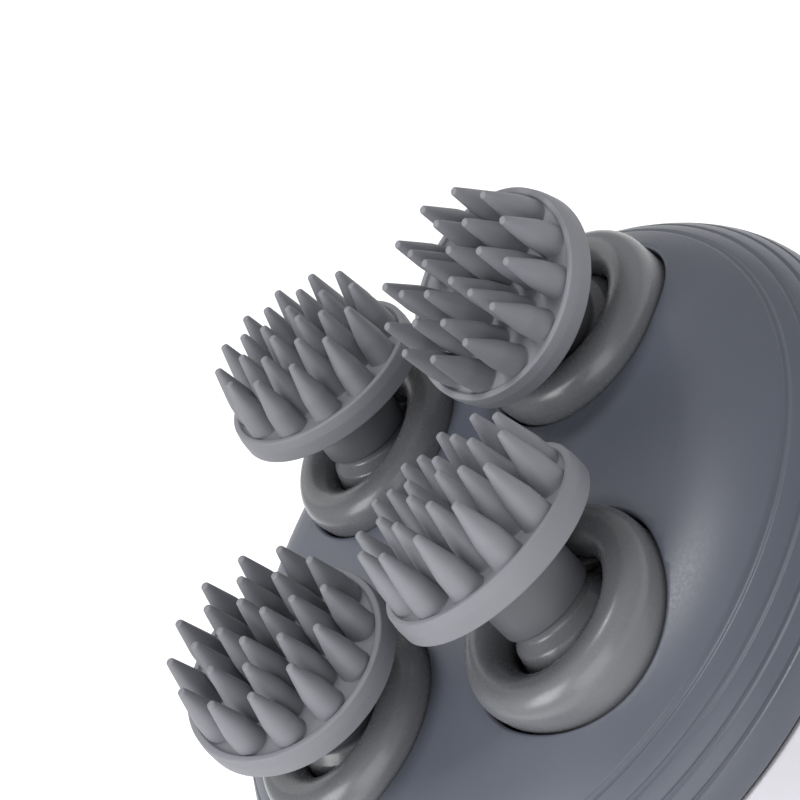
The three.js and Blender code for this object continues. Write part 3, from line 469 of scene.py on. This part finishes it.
def turned_brass():
    """Turned brass: dull yellow with fine rings from the lathe."""
    return metal("turned_brass", linear("#B9964F"), 0.32, 0.5 * MM)


def gold_plate():
    """Gold plate on a charging contact: warm and bright."""
    return metal("gold_plate", linear("#D8B45C"), 0.22, 0.8 * MM)


def milky_polycarbonate():
    """Light-diffusing polycarbonate: milky, glossy, with light sinking in."""
    return patterned("diffusing_polycarbonate", (linear("#EEF0F1"), linear("#F7F8F9")), ((3 * MM, 2.0),),
                     (0.22, 0.3),
                     more={"Subsurface Weight": 0.3, "Subsurface Radius": (1.5 * MM, 1.5 * MM, 1.5 * MM)})


def vinyl_sleeve():
    """Heat-shrunk vinyl sleeve round the cell: glossy with long shallow wrinkles."""
    material, tree, place = begin("heat_shrunk_vinyl")
    along = add_node(tree, "ShaderNodeMapping", {"Vector": place, "Scale": (1, 1, 0.2)}, "Vector")
    wrinkles = add_node(tree, "ShaderNodeTexNoise", {
        "Vector": along, "Scale": 1 / (2.5 * MM), "Detail": 1.0,
    }, "Fac")
    paler = add_node(tree, "ShaderNodeMapRange", {"Value": wrinkles, **NOISE_SPAN}, "Result")
    tone = add_node(tree, "ShaderNodeMix", {
        "Factor": paler, "A": linear("#2A67A6"), "B": linear("#3878BC"),
    }, "Result", data_type="RGBA")
    relief = add_node(tree, "ShaderNodeBump", {"Height": wrinkles, "Distance": 0.03 * MM}, "Normal")
    surface = add_node(tree, "ShaderNodeBsdfPrincipled", {
        "Base Color": tone, "Roughness": 0.25, "Normal": relief,
    }, "BSDF")
    add_node(tree, "ShaderNodeOutputMaterial", {"Surface": surface})
    return material


def solder_mask():
    """Solder mask on glass laminate: glossy green with the cloth's weave just showing."""
    material, tree, place = begin("solder_masked_laminate")
    thread = {"Vector": place, "Scale": 1 / (5 * MM)}
    warp = add_node(tree, "ShaderNodeTexWave", thread, "Fac", bands_direction="X")
    weft = add_node(tree, "ShaderNodeTexWave", thread, "Fac", bands_direction="Z")
    weave = add_node(tree, "ShaderNodeMath", {0: warp, 1: weft}, "Value", operation="MULTIPLY")
    tone = add_node(tree, "ShaderNodeMix", {
        "Factor": weave, "A": linear("#1B5135"), "B": linear("#226141"),
    }, "Result", data_type="RGBA")
    dullness = add_node(tree, "ShaderNodeMapRange", {"Value": weave, "To Min": 0.3, "To Max": 0.4}, "Result")
    relief = add_node(tree, "ShaderNodeBump", {"Height": weave, "Distance": 0.005 * MM}, "Normal")
    surface = add_node(tree, "ShaderNodeBsdfPrincipled", {
        "Base Color": tone, "Roughness": dullness, "Normal": relief,
    }, "BSDF")
    add_node(tree, "ShaderNodeOutputMaterial", {"Surface": surface})
    return material


def studio_floor():
    """Matt white paper: the camera sees it as white, and it keeps the object's shadow."""
    material, tree, place = begin("matt_paper")
    fibres = add_node(tree, "ShaderNodeTexNoise", {
        "Vector": place, "Scale": 1 / (8 * MM), "Detail": 3.0,
    }, "Fac")
    paler = add_node(tree, "ShaderNodeMapRange", {"Value": fibres, **NOISE_SPAN}, "Result")
    tone = add_node(tree, "ShaderNodeMix", {
        "Factor": paler, "A": linear("#F3F3F3"), "B": linear("#F6F6F6"),
    }, "Result", data_type="RGBA")
    dullness = add_node(tree, "ShaderNodeMapRange", {
        "Value": fibres, **NOISE_SPAN, "To Min": 0.85, "To Max": 0.95,
    }, "Result")
    paper = add_node(tree, "ShaderNodeBsdfPrincipled", {
        "Base Color": tone, "Roughness": dullness, "Specular IOR Level": 0.0,
    }, "BSDF")
    seen = add_node(tree, "ShaderNodeLightPath", {}, "Is Camera Ray")
    rays = seen.node.outputs
    for ray in ("Is Glossy Ray", "Is Transmission Ray"):
        seen = add_node(tree, "ShaderNodeMath", {0: seen, 1: rays[ray]}, "Value", operation="MAXIMUM")
    lift = add_node(tree, "ShaderNodeMath", {0: seen, 1: 0.25}, "Value", operation="MULTIPLY")
    glow = add_node(tree, "ShaderNodeEmission", {"Strength": lift}, "Emission")
    both = add_node(tree, "ShaderNodeAddShader", {0: paper, 1: glow}, "Shader")
    add_node(tree, "ShaderNodeOutputMaterial", {"Surface": both})
    return material


# Face shell

def shoulder_r(radius, width, fullness, left):
    """Radius of a shoulder that is this wide, where that share of its height is left."""
    return radius - width * (1 - (1 - left ** fullness) ** (1 / fullness))


def face_z(face, r):
    """Height of the face at a distance from the main axis."""
    inward = max(0.0, min(1.0, (face.radius - r) / face.shoulder_width))
    left = (1 - (1 - inward) ** face.fullness) ** (1 / face.fullness)
    return face.top - face.shoulder_height * (1 - left)


def face_point(face, drop):
    """A point of the face's outline, that far below its top."""
    left = 1 - min(1.0, drop / face.shoulder_height)
    return Vector((shoulder_r(face.radius, face.shoulder_width, face.fullness, left), face.top - drop))


def groove_points(face, drop):
    """A round-bottomed groove with softened lips, across the face's outline."""
    half = face.groove_width / 2
    on, back = face_point(face, drop + half), face_point(face, drop - half)
    along = (on - back).normalized()
    inward = Vector((along.y, -along.x))
    if inward.x > 0:
        inward.negate()
    # How far across from the middle, in half widths, and what share of the depth is reached there
    falling = ((1.5, 0), (1.15, 0.07), (0.9, 0.35), (0.6, 0.78), (0.25, 0.98))
    across = [(-at, share) for at, share in falling] + list(falling[::-1])
    return [face_point(face, drop + at * half) + inward * face.groove_depth * share for at, share in across]


def face_outline(face):
    """The face's outline from its middle, over the shoulder and its grooves, to the seam."""
    flat_steps, shoulder_steps, rim_steps = 8, 14, 5
    flat = face.radius - face.shoulder_width
    points = [Vector((flat * i / flat_steps, face.top)) for i in range(flat_steps + 1)]
    first = face.first_groove - face.groove_width
    for i in range(1, shoulder_steps + 1):
        points.append(face_point(face, first * (i / shoulder_steps) ** 2))
    for i in range(face.grooves):
        points += groove_points(face, face.first_groove + i * face.groove_pitch)
    last = face.first_groove + (face.grooves - 1) * face.groove_pitch + face.groove_width
    for i in range(1, rim_steps + 1):
        points.append(face_point(face, last + (face.shoulder_height - last) * i / rim_steps))
    return points


def inner_outline(face):
    """The inside of the face shell, from its rim to its middle."""
    steps = 10
    inner = face.radius - face.wall
    width, fall = face.shoulder_width - face.wall, face.shoulder_height - face.wall
    points = []
    for i in range(steps, -1, -1):
        left = 1 - (i / steps) ** 1.5
        points.append(Vector((shoulder_r(inner, width, face.fullness, left),
                              face.top - face.wall - fall * (1 - left))))
    points.append(Vector((0, face.top - face.wall)))
    return points


def raise_cap(bm, cap):
    """Extrudes a cap, drops the old one and gives the new one."""
    out = bmesh.ops.extrude_face_region(bm, geom=cap)["geom"]
    bmesh.ops.delete(bm, geom=cap, context="FACES_ONLY")
    return [part for part in out if isinstance(part, bmesh.types.BMFace)]


def opening_cutter(face, place):
    """A plug that follows the face round an opening and leaves a rounded edge there."""
    edge, flare, end_deg = face.opening_edge, 1.2 * MM, 68
    arc = [math.radians(deg) for deg in (0, 18, 36, 54, end_deg)]
    rings = [(face.opening + edge * (1 - math.cos(a)), edge * (1 - math.sin(a))) for a in arc]
    rings.append((rings[-1][0] + flare, rings[-1][1] - flare * math.tan(math.radians(90 - end_deg))))
    centre = place.translation.to_2d()
    foot = Matrix.Translation((0, 0, face.top - face.collar - 6 * PAST))
    bm = bmesh.new()
    bmesh.ops.create_circle(bm, cap_ends=True, radius=face.opening, segments=RING_STEPS, matrix=foot)
    cap = bm.faces[:]
    for radius, depth in rings:
        cap = raise_cap(bm, cap)
        for v in {v for f in cap for v in f.verts}:
            flat = v.co.to_2d().normalized() * radius
            v.co = Vector((flat.x, flat.y, face_z(face, (centre + flat).length) - depth))
    cap = raise_cap(bm, cap)
    for v in {v for f in cap for v in f.verts}:
        v.co.z = face.top + 4 * PAST
    bmesh.ops.create_circle(bm, cap_ends=True, radius=face.opening, segments=RING_STEPS, matrix=foot)
    bmesh.ops.remove_doubles(bm, verts=bm.verts, dist=1e-7)
    bmesh.ops.translate(bm, vec=(centre.x, centre.y, 0), verts=bm.verts)
    return bm


class OBJECT_OT_massager_face(Operator):
    """Models the face shell with its grooves and its four openings"""
    bl_idname = "object.massager_face"
    bl_label = "Face shell"

    def execute(self, context):
        face, layout = context.scene.massager_face, context.scene.massager_layout
        bottom = face.top - face.shoulder_height - face.skirt
        profile = face_outline(face)
        profile += rounded([
            (face.radius, bottom + 1 * MM), (face.radius, bottom, 0.35 * MM),
            (face.radius - face.wall, bottom),
        ])
        profile += inner_outline(face)
        plastic = slate_abs(context.scene.massager_colours)
        shell = piece("face_shell_skin", spun(profile, SHELL_STEPS), plastic, "root",
                      ["face_shell"])
        collars, plugs = bmesh.new(), bmesh.new()
        low = face.top - face.collar
        inside, outside = face.opening - face.opening_edge, face.opening + face.collar_wall
        wall = [(inside, low), (outside, low), (outside, face.top), (inside, face.top)]
        for i in HEADS:
            place = boot_place(layout, i)
            where = Matrix.Translation((place.translation.x, place.translation.y, 0))
            spin_into(collars, wall, RING_STEPS, True, where)
            merge(plugs, opening_cutter(face, place))
        for v in collars.verts:
            if v.co.z > low + PAST:
                v.co.z = face_z(face, v.co.to_2d().length) - PAST
        carve(shell, collars, "UNION")
        carve(shell, plugs, "DIFFERENCE")
        return {"FINISHED"}


# Boots and heads

class OBJECT_OT_massager_boots(Operator):
    """Models the four silicone boots: a rolled ring on a neck, with a ledge inside"""
    bl_idname = "object.massager_boots"
    bl_label = "Boots"

    def execute(self, context):
        boot, layout = context.scene.massager_boot, context.scene.massager_layout
        rubber = boot_silicone(context.scene.massager_colours)
        profile = self.outline(boot)
        for i in HEADS:
            bm = spun(profile, RING_STEPS, True, boot_place(layout, i))
            piece(f"boot_ring_{i + 1}", bm, rubber, "root", [f"boot_{i + 1}"])
        return {"FINISHED"}

    @staticmethod
    def outline(boot):
        """A boot's closed profile: up the outside, over the roll and down the inside."""
        roll = []
        for i in range(ROLL_STEPS + 1):
            turn = math.radians(ROLL_DEG) * i / ROLL_STEPS
            roll.append((boot.ring + boot.roll_width * math.cos(turn),
                         boot.roll_height * math.sin(turn) - boot.sink))
        neck = boot.ring + boot.roll_width
        down = -boot.depth
        flange_top = down + boot.flange_height
        ledge_top = -boot.ledge_depth
        ledge_bottom = ledge_top - boot.ledge_height
        outside = rounded([
            (boot.inner, down), (boot.flange, down, 0.3 * MM), (boot.flange, flange_top, 0.3 * MM),
            (neck - 0.3 * MM, flange_top, 0.8 * MM), roll[0],
        ])
        inside = rounded([
            roll[-1], (boot.ledge + 0.25 * MM, ledge_top + 0.3 * MM, 1 * MM),
            (boot.ledge, ledge_top, 0.3 * MM), (boot.ledge, ledge_bottom, 0.4 * MM),
            (boot.inner, ledge_bottom - boot.ledge_height, 0.4 * MM), (boot.inner, down),
        ])
        return outside[:-1] + roll + inside[1:-1]


class OBJECT_OT_massager_pads(Operator):
    """Models the four pads, each with rings of twelve, eight and four round-tipped pins"""
    bl_idname = "object.massager_pads"
    bl_label = "Pin pads"

    def execute(self, context):
        head, layout = context.scene.massager_head, context.scene.massager_layout
        rubber = pad_silicone(context.scene.massager_colours)
        disc = self.disc(head)
        # How many pins, on what radius, how tall, and by how much their ring is turned
        rings = ((12, head.outer_ring, head.outer_height, 0), (8, head.middle_ring, head.middle_height, 15),
                 (4, head.inner_ring, head.inner_height, 60))
        for i in HEADS:
            bm = spun(disc, RING_STEPS)
            for count, radius, height, turn in rings:
                for k in range(count):
                    at = math.radians(PIN_PHASE_DEG[i] + turn + k * 360 / count)
                    place = Matrix.Translation((radius * math.cos(at), radius * math.sin(at), 0))
                    spin_into(bm, self.pin(head, height), PIN_STEPS, place=place)
            bmesh.ops.transform(bm, matrix=head_place(layout, i), verts=bm.verts)
            piece(f"pad_{i + 1}", bm, rubber, f"head_{i + 1}", [f"pin_pad_{i + 1}"])
        return {"FINISHED"}

    @staticmethod
    def disc(head):
        """A pad's profile without its pins: the sunk floor, the lip and the band round the edge."""
        floor, band = head.top - head.lip, head.radius + head.band
        lip_in = head.radius - head.lip_wall
        band_in, band_bottom = band - head.band_wall, head.top - head.band_depth
        return rounded([
            (0, floor - 0.1 * MM), (lip_in - 0.25 * MM, floor, 0.6 * MM), (lip_in, head.top, 0.25 * MM),
            (head.radius, head.top, 0.25 * MM), (band, head.top - head.band_fall, 0.8 * MM),
            (band, band_bottom, 0.35 * MM), (band_in, band_bottom, 0.2 * MM),
            (band_in, floor - head.skin, 0.2 * MM), (0, floor - head.skin),
        ])

    @staticmethod
    def pin(head, height):
        """A pin's profile: a fillet at its foot, a straight taper and a round tip."""
        floor, tip = head.top - head.lip, head.top + height
        foot, root = head.pin_base + 0.1 * MM, floor - head.skin / 2
        return rounded([
            (0, root), (foot, root), (foot, floor - 0.12 * MM), (head.pin_base, floor + 0.15 * MM, 0.5 * MM),
            (head.pin_base * 0.84, floor + height * 0.42, 6 * MM),
            (head.pin_tip * 1.12, tip - 1.1 * MM, 1.5 * MM), (head.pin_tip * 0.7, tip, head.pin_tip * 0.6),
            (0, tip),
        ])


class OBJECT_OT_massager_stems(Operator):
    """Models the four stems with the disc under each pad and the cuff below"""
    bl_idname = "object.massager_stems"
    bl_label = "Stems"

    def execute(self, context):
        head, layout = context.scene.massager_head, context.scene.massager_layout
        plastic = hub_plastic(context.scene.massager_colours)
        rubber = boot_silicone(context.scene.massager_colours)
        stem, cuff = self.stem(head), self.cuff(head)
        for i in HEADS:
            place = head_place(layout, i)
            piece(f"stem_{i + 1}", spun(stem, RING_STEPS, place=place), plastic, f"head_{i + 1}",
                  [f"head_hub_{i + 1}"])
            piece(f"cuff_{i + 1}", spun(cuff, RING_STEPS, place=place), rubber, f"head_{i + 1}",
                  ())
        return {"FINISHED"}

    @staticmethod
    def stem(head):
        """The profile of the disc that carries the pad, and of the stem, which flares into it."""
        disc = head.radius + head.band - 0.9 * MM
        top = head.top - head.lip - head.skin - 0.3 * MM
        bottom = top - head.disc
        hollow = head.stem_end + 0.8 * MM
        return rounded([
            (0, top), (disc, top, 0.3 * MM), (disc, bottom, 0.3 * MM), (head.stem + 2 * MM, bottom, 0.5 * MM),
            (head.stem, bottom - 2 * MM, 2.5 * MM), (head.stem, head.stem_end, 0.45 * MM),
            (head.stem - 1 * MM, head.stem_end, 0.1 * MM), (head.stem - 1 * MM, hollow), (0, hollow),
        ])

    @staticmethod
    def cuff(head):
        """The profile of the soft cuff by which the boot holds the stem."""
        neck = head.stem - 0.8 * MM
        return rounded([
            (0, 2 * MM), (neck, 2 * MM), (neck, 0.6 * MM, 0.6 * MM),
            (head.stem + 0.35 * MM, -0.4 * MM, 0.7 * MM), (head.stem + head.cuff, -3.2 * MM, 0.7 * MM),
            (head.stem - 0.6 * MM, -5 * MM, 0.6 * MM), (0, -5 * MM),
        ])


# Grip, seam, foot and power button

def grip_outline(grip):
    """The grip's outline from its foot to its top edge, as a smooth curve through its named widths."""
    span = grip.top - grip.bottom
    flare = grip.top_radius - grip.waist
    shares = [(grip.base - 1.8 * MM, 0), (grip.base - 0.2 * MM, 0.03), (grip.base + 0.2 * MM, 0.1),
              (grip.waist, 0.34), (grip.waist + flare * 0.12, 0.55), (grip.waist + flare * 0.55, 0.72),
              (grip.waist + flare * 0.9, 0.87), (grip.top_radius, 1)]
    knots = [Vector((radius, grip.bottom + span * share)) for radius, share in shares]
    padded = [knots[0]] + knots + [knots[-1]]
    steps = 8
    points = []
    for a, b, c, d in zip(padded, padded[1:], padded[2:], padded[3:]):
        for k in range(steps):
            t = k / steps
            points.append(0.5 * ((2 * b) + (c - a) * t + (2 * a - 5 * b + 4 * c - d) * t ** 2
                                 + (3 * b - a - 3 * c + d) * t ** 3))
    points.append(knots[-1])
    return points


def grip_radius(grip, z):
    """The grip's radius at a height."""
    return min(grip_outline(grip), key=lambda p: abs(p.y - z)).x


def button_place(button):
    """Turns a piece that was spun about Z so that it faces -Y at the button's height."""
    return Matrix.Translation((0, 0, button.height)) @ Matrix.Rotation(math.radians(90), 4, "X")


def button_rings(button):
    """Inner and outer radius of the light ring, and inner and outer radius of the bezel."""
    ring_in = button.radius + button.gap
    ring_out = ring_in + button.ring_width
    bezel_in = ring_out + button.gap
    return ring_in, ring_out, bezel_in, bezel_in + button.bezel_width


class OBJECT_OT_massager_grip(Operator):
    """Models the grip shell with the holes for its button and its charging contacts"""
    bl_idname = "object.massager_grip"
    bl_label = "Grip"

    def execute(self, context):
        grip, face = context.scene.massager_grip, context.scene.massager_face
        button = context.scene.massager_button
        bm = spun(self.outline(grip, face), SHELL_STEPS)
        shell = piece("grip_skin", bm, pale_abs(context.scene.massager_colours), "root",
                      ["grip_shell"])
        wall, radius = grip_radius(grip, button.height), button_rings(button)[-1]
        inside, outside = wall - 8 * PAST, wall + 6 * PAST
        rod = [(0, inside), (radius, inside), (radius, outside), (0, outside)]
        carve(shell, spun(rod, RING_STEPS, place=button_place(button)), "DIFFERENCE")

        # Below this height each contact's hole widens to a chamfered mouth
        edge_top = grip.bottom + 0.25 * MM
        holes = bmesh.new()
        bore = [(0, -PAST), (grip.contact_hole + edge_top + PAST, -PAST), (grip.contact_hole, edge_top),
                (grip.contact_hole, grip.floor + PAST), (0, grip.floor + PAST)]
        for side in (-1, 1):
            place = Matrix.Translation((side * grip.contact_spacing / 2, grip.contact_back, 0))
            spin_into(holes, bore, CONTACT_STEPS, place=place)
        carve(shell, holes, "DIFFERENCE")
        return {"FINISHED"}

    @staticmethod
    def outline(grip, face):
        """The shell's profile: the base with the foot ring's groove, the outside, the rim and the inside."""
        outer = grip_outline(grip)
        spigot, step = face.radius - face.wall - grip.spigot_gap, 2 * MM
        inner = []
        for p in outer[::3]:
            if grip.floor + 1 * MM < p.y < grip.top - 4 * MM:
                inner.append(Vector((p.x - grip.wall, p.y)))
        foot_in = grip.foot_inside - 0.3 * MM
        foot_out = grip.foot_inside + grip.foot_width + 0.3 * MM
        foot_top = grip.foot_height + 0.1 * MM
        base = rounded([
            (0, grip.bottom), (foot_in, grip.bottom, 0.3 * MM), (foot_in, foot_top), (foot_out, foot_top),
            (foot_out, grip.bottom, 0.3 * MM), (outer[0].x, grip.bottom),
        ])
        rim = rounded([
            outer[-2], (grip.top_radius, grip.top, 0.4 * MM), (spigot, grip.top),
            (spigot, grip.top + grip.spigot, 0.3 * MM), (spigot - step, grip.top + grip.spigot, 0.3 * MM),
            (spigot - step, grip.top - step), inner[-1],
        ])
        floor = [Vector((inner[0].x - 1 * MM, grip.floor)), Vector((0, grip.floor))]
        return base[:-1] + outer[:-2] + rim + inner[-2::-1] + floor


class OBJECT_OT_massager_rubber_rings(Operator):
    """Models the two rubber rings: the black seam gasket and the foot ring"""
    bl_idname = "object.massager_rubber_rings"
    bl_label = "Seam and foot ring"

    def execute(self, context):
        grip, face = context.scene.massager_grip, context.scene.massager_face
        rubber = black_rubber()
        inner, outer = face.radius - face.wall, face.radius - 0.5 * MM
        low, high = grip.top + 0.1 * MM, face.top - face.shoulder_height - face.skirt - 0.1 * MM
        seam = rounded([(inner, low), (outer, low, 0.2 * MM), (outer, high, 0.2 * MM), (inner, high)])
        piece("seam_ring", spun(seam, SHELL_STEPS, closed=True), rubber, "root",
              ["seam_gasket"])
        inner, outer = grip.foot_inside, grip.foot_inside + grip.foot_width
        foot = rounded([
            (inner, grip.foot_height), (inner, 0, 0.5 * MM), (outer, 0, 0.5 * MM), (outer, grip.foot_height),
            (inner + 1 * MM, grip.foot_height),
        ])
        piece("foot_skin", spun(foot, SHELL_STEPS, closed=True), rubber, "root",
              ["foot_ring"])
        return {"FINISHED"}


class OBJECT_OT_massager_button(Operator):
    """Models the power button's cap, the light ring round it and the plated bezel"""
    bl_idname = "object.massager_button"
    bl_label = "Power button"

    def execute(self, context):
        button = context.scene.massager_button
        wall = grip_radius(context.scene.massager_grip, button.height)
        colours = context.scene.massager_colours
        parts = (
            ("button_cap", self.cap(button, wall), slate_abs(colours),
             "button", "power_button", "face_plastic"),
            ("light_ring_skin", self.light_ring(button, wall), milky_polycarbonate(),
             "root", "light_ring", "diffuser"),
            ("bezel_skin", self.bezel(button, wall), chrome_plate(),
             "root", "button_bezel", "bezel_chrome"),
        )
        for name, profile, material, body, node, slot in parts:
            bm = spun(profile, RING_STEPS, closed=profile[0].x > 0, place=button_place(button))
            piece(name, bm, material, body, [node])
        return {"FINISHED"}

    @staticmethod
    def cap(button, wall):
        """The cap's profile: a flange at its back and a slightly dished front."""
        flange, front = button.back + 1.1 * MM, wall + button.proud
        return rounded([
            (0, button.back), (button.radius + 1 * MM, button.back, 0.2 * MM),
            (button.radius + 1 * MM, flange, 0.2 * MM), (button.radius, flange, 0.2 * MM),
            (button.radius, front, 0.8 * MM), (button.radius * 0.7, front - 0.15 * MM, 3 * MM),
            (0, front - 0.4 * MM),
        ])

    @staticmethod
    def light_ring(button, wall):
        """The light ring's closed profile."""
        inner, outer, _, _ = button_rings(button)
        back, front = button.back + 1.4 * MM, wall + button.rim
        return rounded([
            (inner, back), (inner, front, 0.25 * MM), (outer, front, 0.25 * MM), (outer, back),
            (inner + 0.2 * MM, back),
        ])

    @staticmethod
    def bezel(button, wall):
        """The bezel's closed profile."""
        _, _, inner, outer = button_rings(button)
        back, front = wall - button.bezel_depth, wall + button.rim
        return rounded([
            (inner, back), (inner, front, 0.3 * MM), (outer, front, 0.45 * MM), (outer, back),
            (inner + 0.2 * MM, back),
        ])


class OBJECT_OT_massager_inner(Operator):
    """Gives each CAD piece that is kept the finish of what it is made of"""
    bl_idname = "object.massager_inner"
    bl_label = "Finishes inside"

    def execute(self, context):
        nylon, steel, brass = black_nylon(), zinc_plated_steel(), turned_brass()
        wax, gold = acetal(), gold_plate()
        finishes = {
            "gear_plate": nylon, "gear_cover": nylon, "tact_switch": nylon, "motor_cap": nylon,
            "sun_gear": wax, "sun_axle": steel, "motor_can": steel, "motor_pinion": brass,
            "battery_cell": vinyl_sleeve(), "circuit_board": solder_mask(),
            "charge_contact_left": gold, "charge_contact_right": gold,
            "base_screw_left": steel, "base_screw_right": steel,
        }
        for i in HEADS:
            finishes.update({
                f"plate_screw_{i + 1}": steel, f"head_screw_{i + 1}": steel,
                f"head_bush_{i + 1}": brass, f"crank_gear_{i + 1}": wax,
            })
        for name, material in finishes.items():
            for slot in frame["nodes"][name].material_slots:
                slot.material = material
        return {"FINISHED"}


# Stage: the camera was fitted to the photograph's pin rings, pad rims, boots and grooves
CAMERA_EYE = Vector((-143.95, -140.05, 199.87)) * MM
CAMERA_AIM = Vector((24.08, 12.3, 72)) * MM
CAMERA_ROLL_DEG = -55.643
CAMERA_LENS = 94.07
CAMERA_SHIFT = (0.0028, 0.0047)
WORLD_STRENGTH = 0.41

# The paper reaches this many metres in every direction
FLOOR_RADIUS = 6

# Name, place, height of the point that it faces on the main axis, size and power
LAMPS = (
    ("overhead", (0.1, -0.08, 0.95), 0.07, 0.2, 3.2),
    ("key", (-0.62, 0.45, 0.62), 0.07, 0.5, 4.8),
    ("behind", (0.75, 0.68, 0.62), 0.07, 0.8, 1.5),
    ("front", (-0.92, -0.36, 0.36), 0.06, 0.8, 4.2),
)


def facing(place, aim):
    """A place, turned so that its -Z faces a point."""
    turn = (Vector(aim) - Vector(place)).to_track_quat("-Z", "Y").to_matrix().to_4x4()
    return Matrix.Translation(place) @ turn


class OBJECT_OT_massager_stage(Operator):
    """Sets the paper floor, the soft lights and the camera"""
    bl_idname = "object.massager_stage"
    bl_label = "Stage, lights and camera"

    def execute(self, context):
        scene = context.scene
        bm = bmesh.new()
        bmesh.ops.create_circle(bm, cap_ends=True, radius=FLOOR_RADIUS, segments=64)
        mesh = bpy.data.meshes.new("floor")
        bm.to_mesh(mesh)
        bm.free()
        mesh.materials.append(studio_floor())
        floor = bpy.data.objects.new("floor", mesh)
        scene.collection.objects.link(floor)

        world = bpy.data.worlds.new("studio")
        world.use_nodes = True
        sky = world.node_tree.nodes["Background"].inputs
        sky["Color"].default_value = (1, 1, 1, 1)
        sky["Strength"].default_value = WORLD_STRENGTH
        scene.world = world
        for name, place, aim_height, size, power in LAMPS:
            data = bpy.data.lights.new(name, "AREA")
            data.size = size
            data.energy = power
            lamp = bpy.data.objects.new(name, data)
            lamp.matrix_world = facing(place, (0, 0, aim_height))
            scene.collection.objects.link(lamp)

        scene.view_settings.view_transform = "Standard"
        data = bpy.data.cameras.new("camera")
        data.lens = CAMERA_LENS
        data.shift_x, data.shift_y = CAMERA_SHIFT
        camera = bpy.data.objects.new("camera", data)
        roll = Matrix.Rotation(math.radians(CAMERA_ROLL_DEG), 4, "Z")
        camera.matrix_world = facing(CAMERA_EYE, CAMERA_AIM) @ roll
        scene.collection.objects.link(camera)
        scene.camera = camera
        return {"FINISHED"}


class VIEW3D_PT_massager(Panel):
    """Lists the massager's sizes, colours and pieces"""
    bl_idname = "VIEW3D_PT_massager"
    bl_label = "Scalp massager"
    bl_space_type = "VIEW_3D"
    bl_region_type = "UI"
    bl_category = "Massager"

    def draw(self, context):
        for group, _ in GROUPS:
            box = self.layout.box()
            settings = getattr(context.scene, group)
            for key in settings.__annotations__:
                box.prop(settings, key)
        for operator in OPERATORS:
            self.layout.operator(operator.bl_idname)


GROUPS = (
    ("massager_layout", MassagerLayout), ("massager_face", MassagerFace), ("massager_boot", MassagerBoot),
    ("massager_head", MassagerHead), ("massager_grip", MassagerGrip), ("massager_button", MassagerButton),
    ("massager_colours", MassagerColours),
)
OPERATORS = (
    OBJECT_OT_massager_stage, OBJECT_OT_massager_face, OBJECT_OT_massager_boots, OBJECT_OT_massager_pads,
    OBJECT_OT_massager_stems, OBJECT_OT_massager_grip, OBJECT_OT_massager_rubber_rings,
    OBJECT_OT_massager_button, OBJECT_OT_massager_inner,
)


def register():
    """Registers the settings, the operators and the panel."""
    for name, group in GROUPS:
        bpy.utils.register_class(group)
        setattr(bpy.types.Scene, name, PointerProperty(type=group))
    for cls in OPERATORS + (VIEW3D_PT_massager,):
        bpy.utils.register_class(cls)


def unregister():
    """Takes the panel, the operators and the settings away again."""
    for cls in (VIEW3D_PT_massager,) + OPERATORS[::-1]:
        bpy.utils.unregister_class(cls)
    for name, group in GROUPS[::-1]:
        delattr(bpy.types.Scene, name)
        bpy.utils.unregister_class(group)


def main():
    """Builds and finishes the massager on its stage."""
    register()
    bpy.ops.object.massager_stage()
    bpy.ops.object.massager_face()
    bpy.ops.object.massager_boots()
    bpy.ops.object.massager_pads()
    bpy.ops.object.massager_stems()
    bpy.ops.object.massager_grip()
    bpy.ops.object.massager_rubber_rings()
    bpy.ops.object.massager_button()
    bpy.ops.object.massager_inner()


if __name__ == "__main__":
    main()
